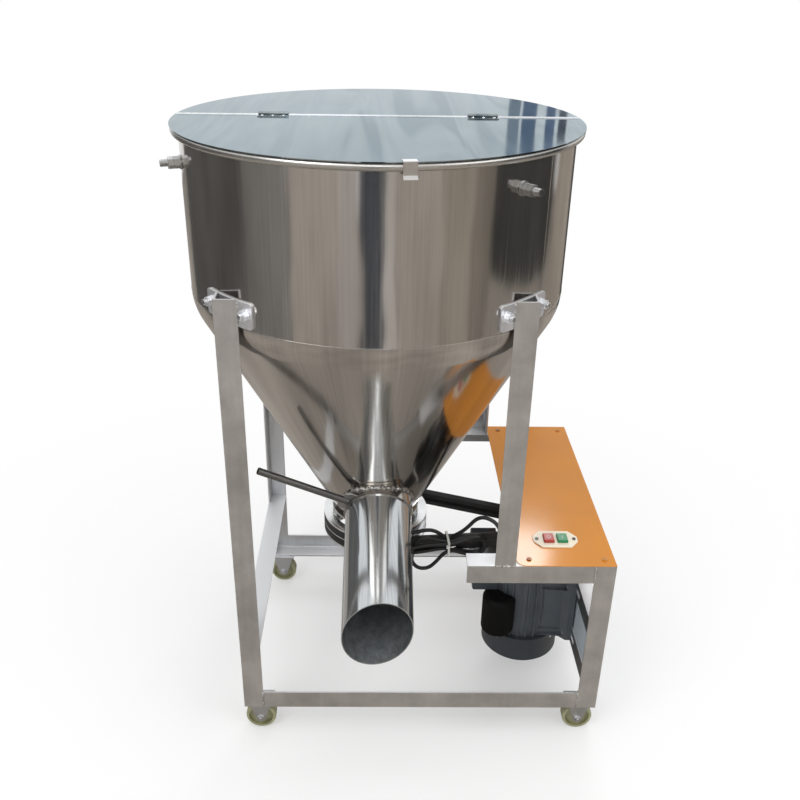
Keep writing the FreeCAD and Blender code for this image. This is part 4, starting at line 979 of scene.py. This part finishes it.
def make_card(name, corners, colour):
    """Matt card that only reflections show."""
    card = stage_sheet(name, corners)
    material, tree, shader, coords = new_material(name)
    patches = noise(tree, coords, 1.3, 3.0)
    tone = ramp(tree, patches, [(0.35, shade(colour, 0.82)), (0.65, shade(colour, 1.15))])
    set_surface(tree, shader, tone, 0.0, 1.0)
    shader.inputs["Specular IOR Level"].default_value = 0.0
    card.data.materials.append(material)
    card.visible_camera = False
    card.visible_diffuse = False
    card.visible_shadow = False
    card.visible_transmission = False
    return card


def upright(left, right, low, high, y=0.0):
    """Corners of an upright rectangle."""
    return [(left, y, low), (right, y, low), (right, y, high), (left, y, high)]


def add_cards():
    """Room that the polished steel reflects: a grey-brown ground, a ring of upright cards on it, each
    from a start to an end angle, and the panes of a window behind, which the lid shows."""
    ring_r, tall, short = 2.2, 1.75, 1.1
    pane_y = 2.25
    wall = (0.62, 0.565, 0.51)
    dark_grey = (0.14, 0.135, 0.13)
    black = (0.075, 0.075, 0.073)
    make_card("ground", flat_square(4.5, 0.002), (0.43, 0.395, 0.355))
    ring = [(-136, -74, dark_grey, 0, tall), (-74, -46, (0.28, 0.27, 0.26), 0, tall),
            (-44, -20, wall, 0, tall), (-20, -10, (0.70, 0.66, 0.63), 0, tall), (-8, 3.4, (0.10, 0.11, 0.13), 0, tall),
            (3.4, 9, (0.84, 0.80, 0.76), 0, tall), (9, 34, wall, 0, tall),
            (34, 50, (0.45, 0.40, 0.35), 0, tall), (50, 62, (0.30, 0.27, 0.235), 0, tall), (62, 112, black, 0.3, tall),
            (114, 145, (0.42, 0.37, 0.32), 0, short), (145, 178, black, 0, short),
            (196, 204, dark_grey, 0, short)]
    for i, (start, end, colour, foot, height) in enumerate(ring):
        middle = math.radians((start + end) / 2)
        half = ring_r * math.tan(math.radians((end - start) / 2))
        card = make_card(f"upright_{i}", upright(-half, half, foot, height), colour)
        card.location = (math.sin(middle) * ring_r, -math.cos(middle) * ring_r, 0.0)
        card.rotation_euler = (0, 0, middle)
    panes = [(0.56, 0.80, 1.35, 1.50, (0.10, 0.11, 0.15)), (0.55, 0.60, 1.50, 1.85, (0.36, 0.42, 0.50)),
             (0.61, 0.67, 1.50, 1.85, (0.21, 0.27, 0.38)), (0.71, 0.75, 1.50, 1.85, (0.18, 0.23, 0.34)),
             (0.765, 0.80, 1.50, 1.70, (0.12, 0.13, 0.16))]
    for i, (left, right, low, high, colour) in enumerate(panes):
        make_card(f"pane_{i}", upright(left, right, low, high, pane_y), colour)


def add_lights():
    """Soft studio lamps, each with a place, a size in metres and a power in watts, and a white surround."""
    lamps = [("key", (-2.2, -2.6, 3.4), 2.2, 56.0), ("fill", (2.8, -2.0, 2.2), 2.4, 26.0),
             ("back", (1.0, 3.0, 2.9), 1.3, 26.0), ("top", (0.0, -0.4, 4.2), 2.6, 40.0),
             ("front", (-0.05, -3.4, 2.45), 0.95, 10.0), ("glint", (0.70, 1.80, 1.99), 0.24, 4.8)]
    target = Vector((0.05, 0.0, 0.6))
    for name, place, size, power in lamps:
        data = bpy.data.lights.new(name, "AREA")
        data.shape = "SQUARE"
        data.size = size
        data.energy = power
        lamp = bpy.data.objects.new(name, data)
        lamp.location = place
        lamp.rotation_euler = (target - Vector(place)).to_track_quat("-Z", "Y").to_euler()
        lamp.visible_glossy = name not in ("top", "back")
        lamp.visible_diffuse = name != "glint"
        bpy.context.scene.collection.objects.link(lamp)
    world = bpy.data.worlds.new("studio")
    bpy.context.scene.world = world
    world.use_nodes = True
    tree = world.node_tree
    background = tree.nodes["Background"]
    tree.links.new(between(tree, seen_ray(tree), 0.58, 1.0), background.inputs["Strength"])
    background.inputs["Color"].default_value = (1.0, 1.0, 1.0, 1.0)
    bpy.context.scene.view_settings.view_transform = "Standard"


add_camera()
slot_materials = make_materials()
dress_nodes(slot_materials)
add_floor()
add_cards()
add_lights()
for add_piece in (add_cord, add_tie_head, add_spout_weld, add_frame_welds, add_hopper_seam, add_rim_bead,
                  add_threads, add_hinge_rivets, add_lid_fold, add_button_marks, add_screw_slots,
                  add_motor_bolts):
    add_piece(slot_materials)
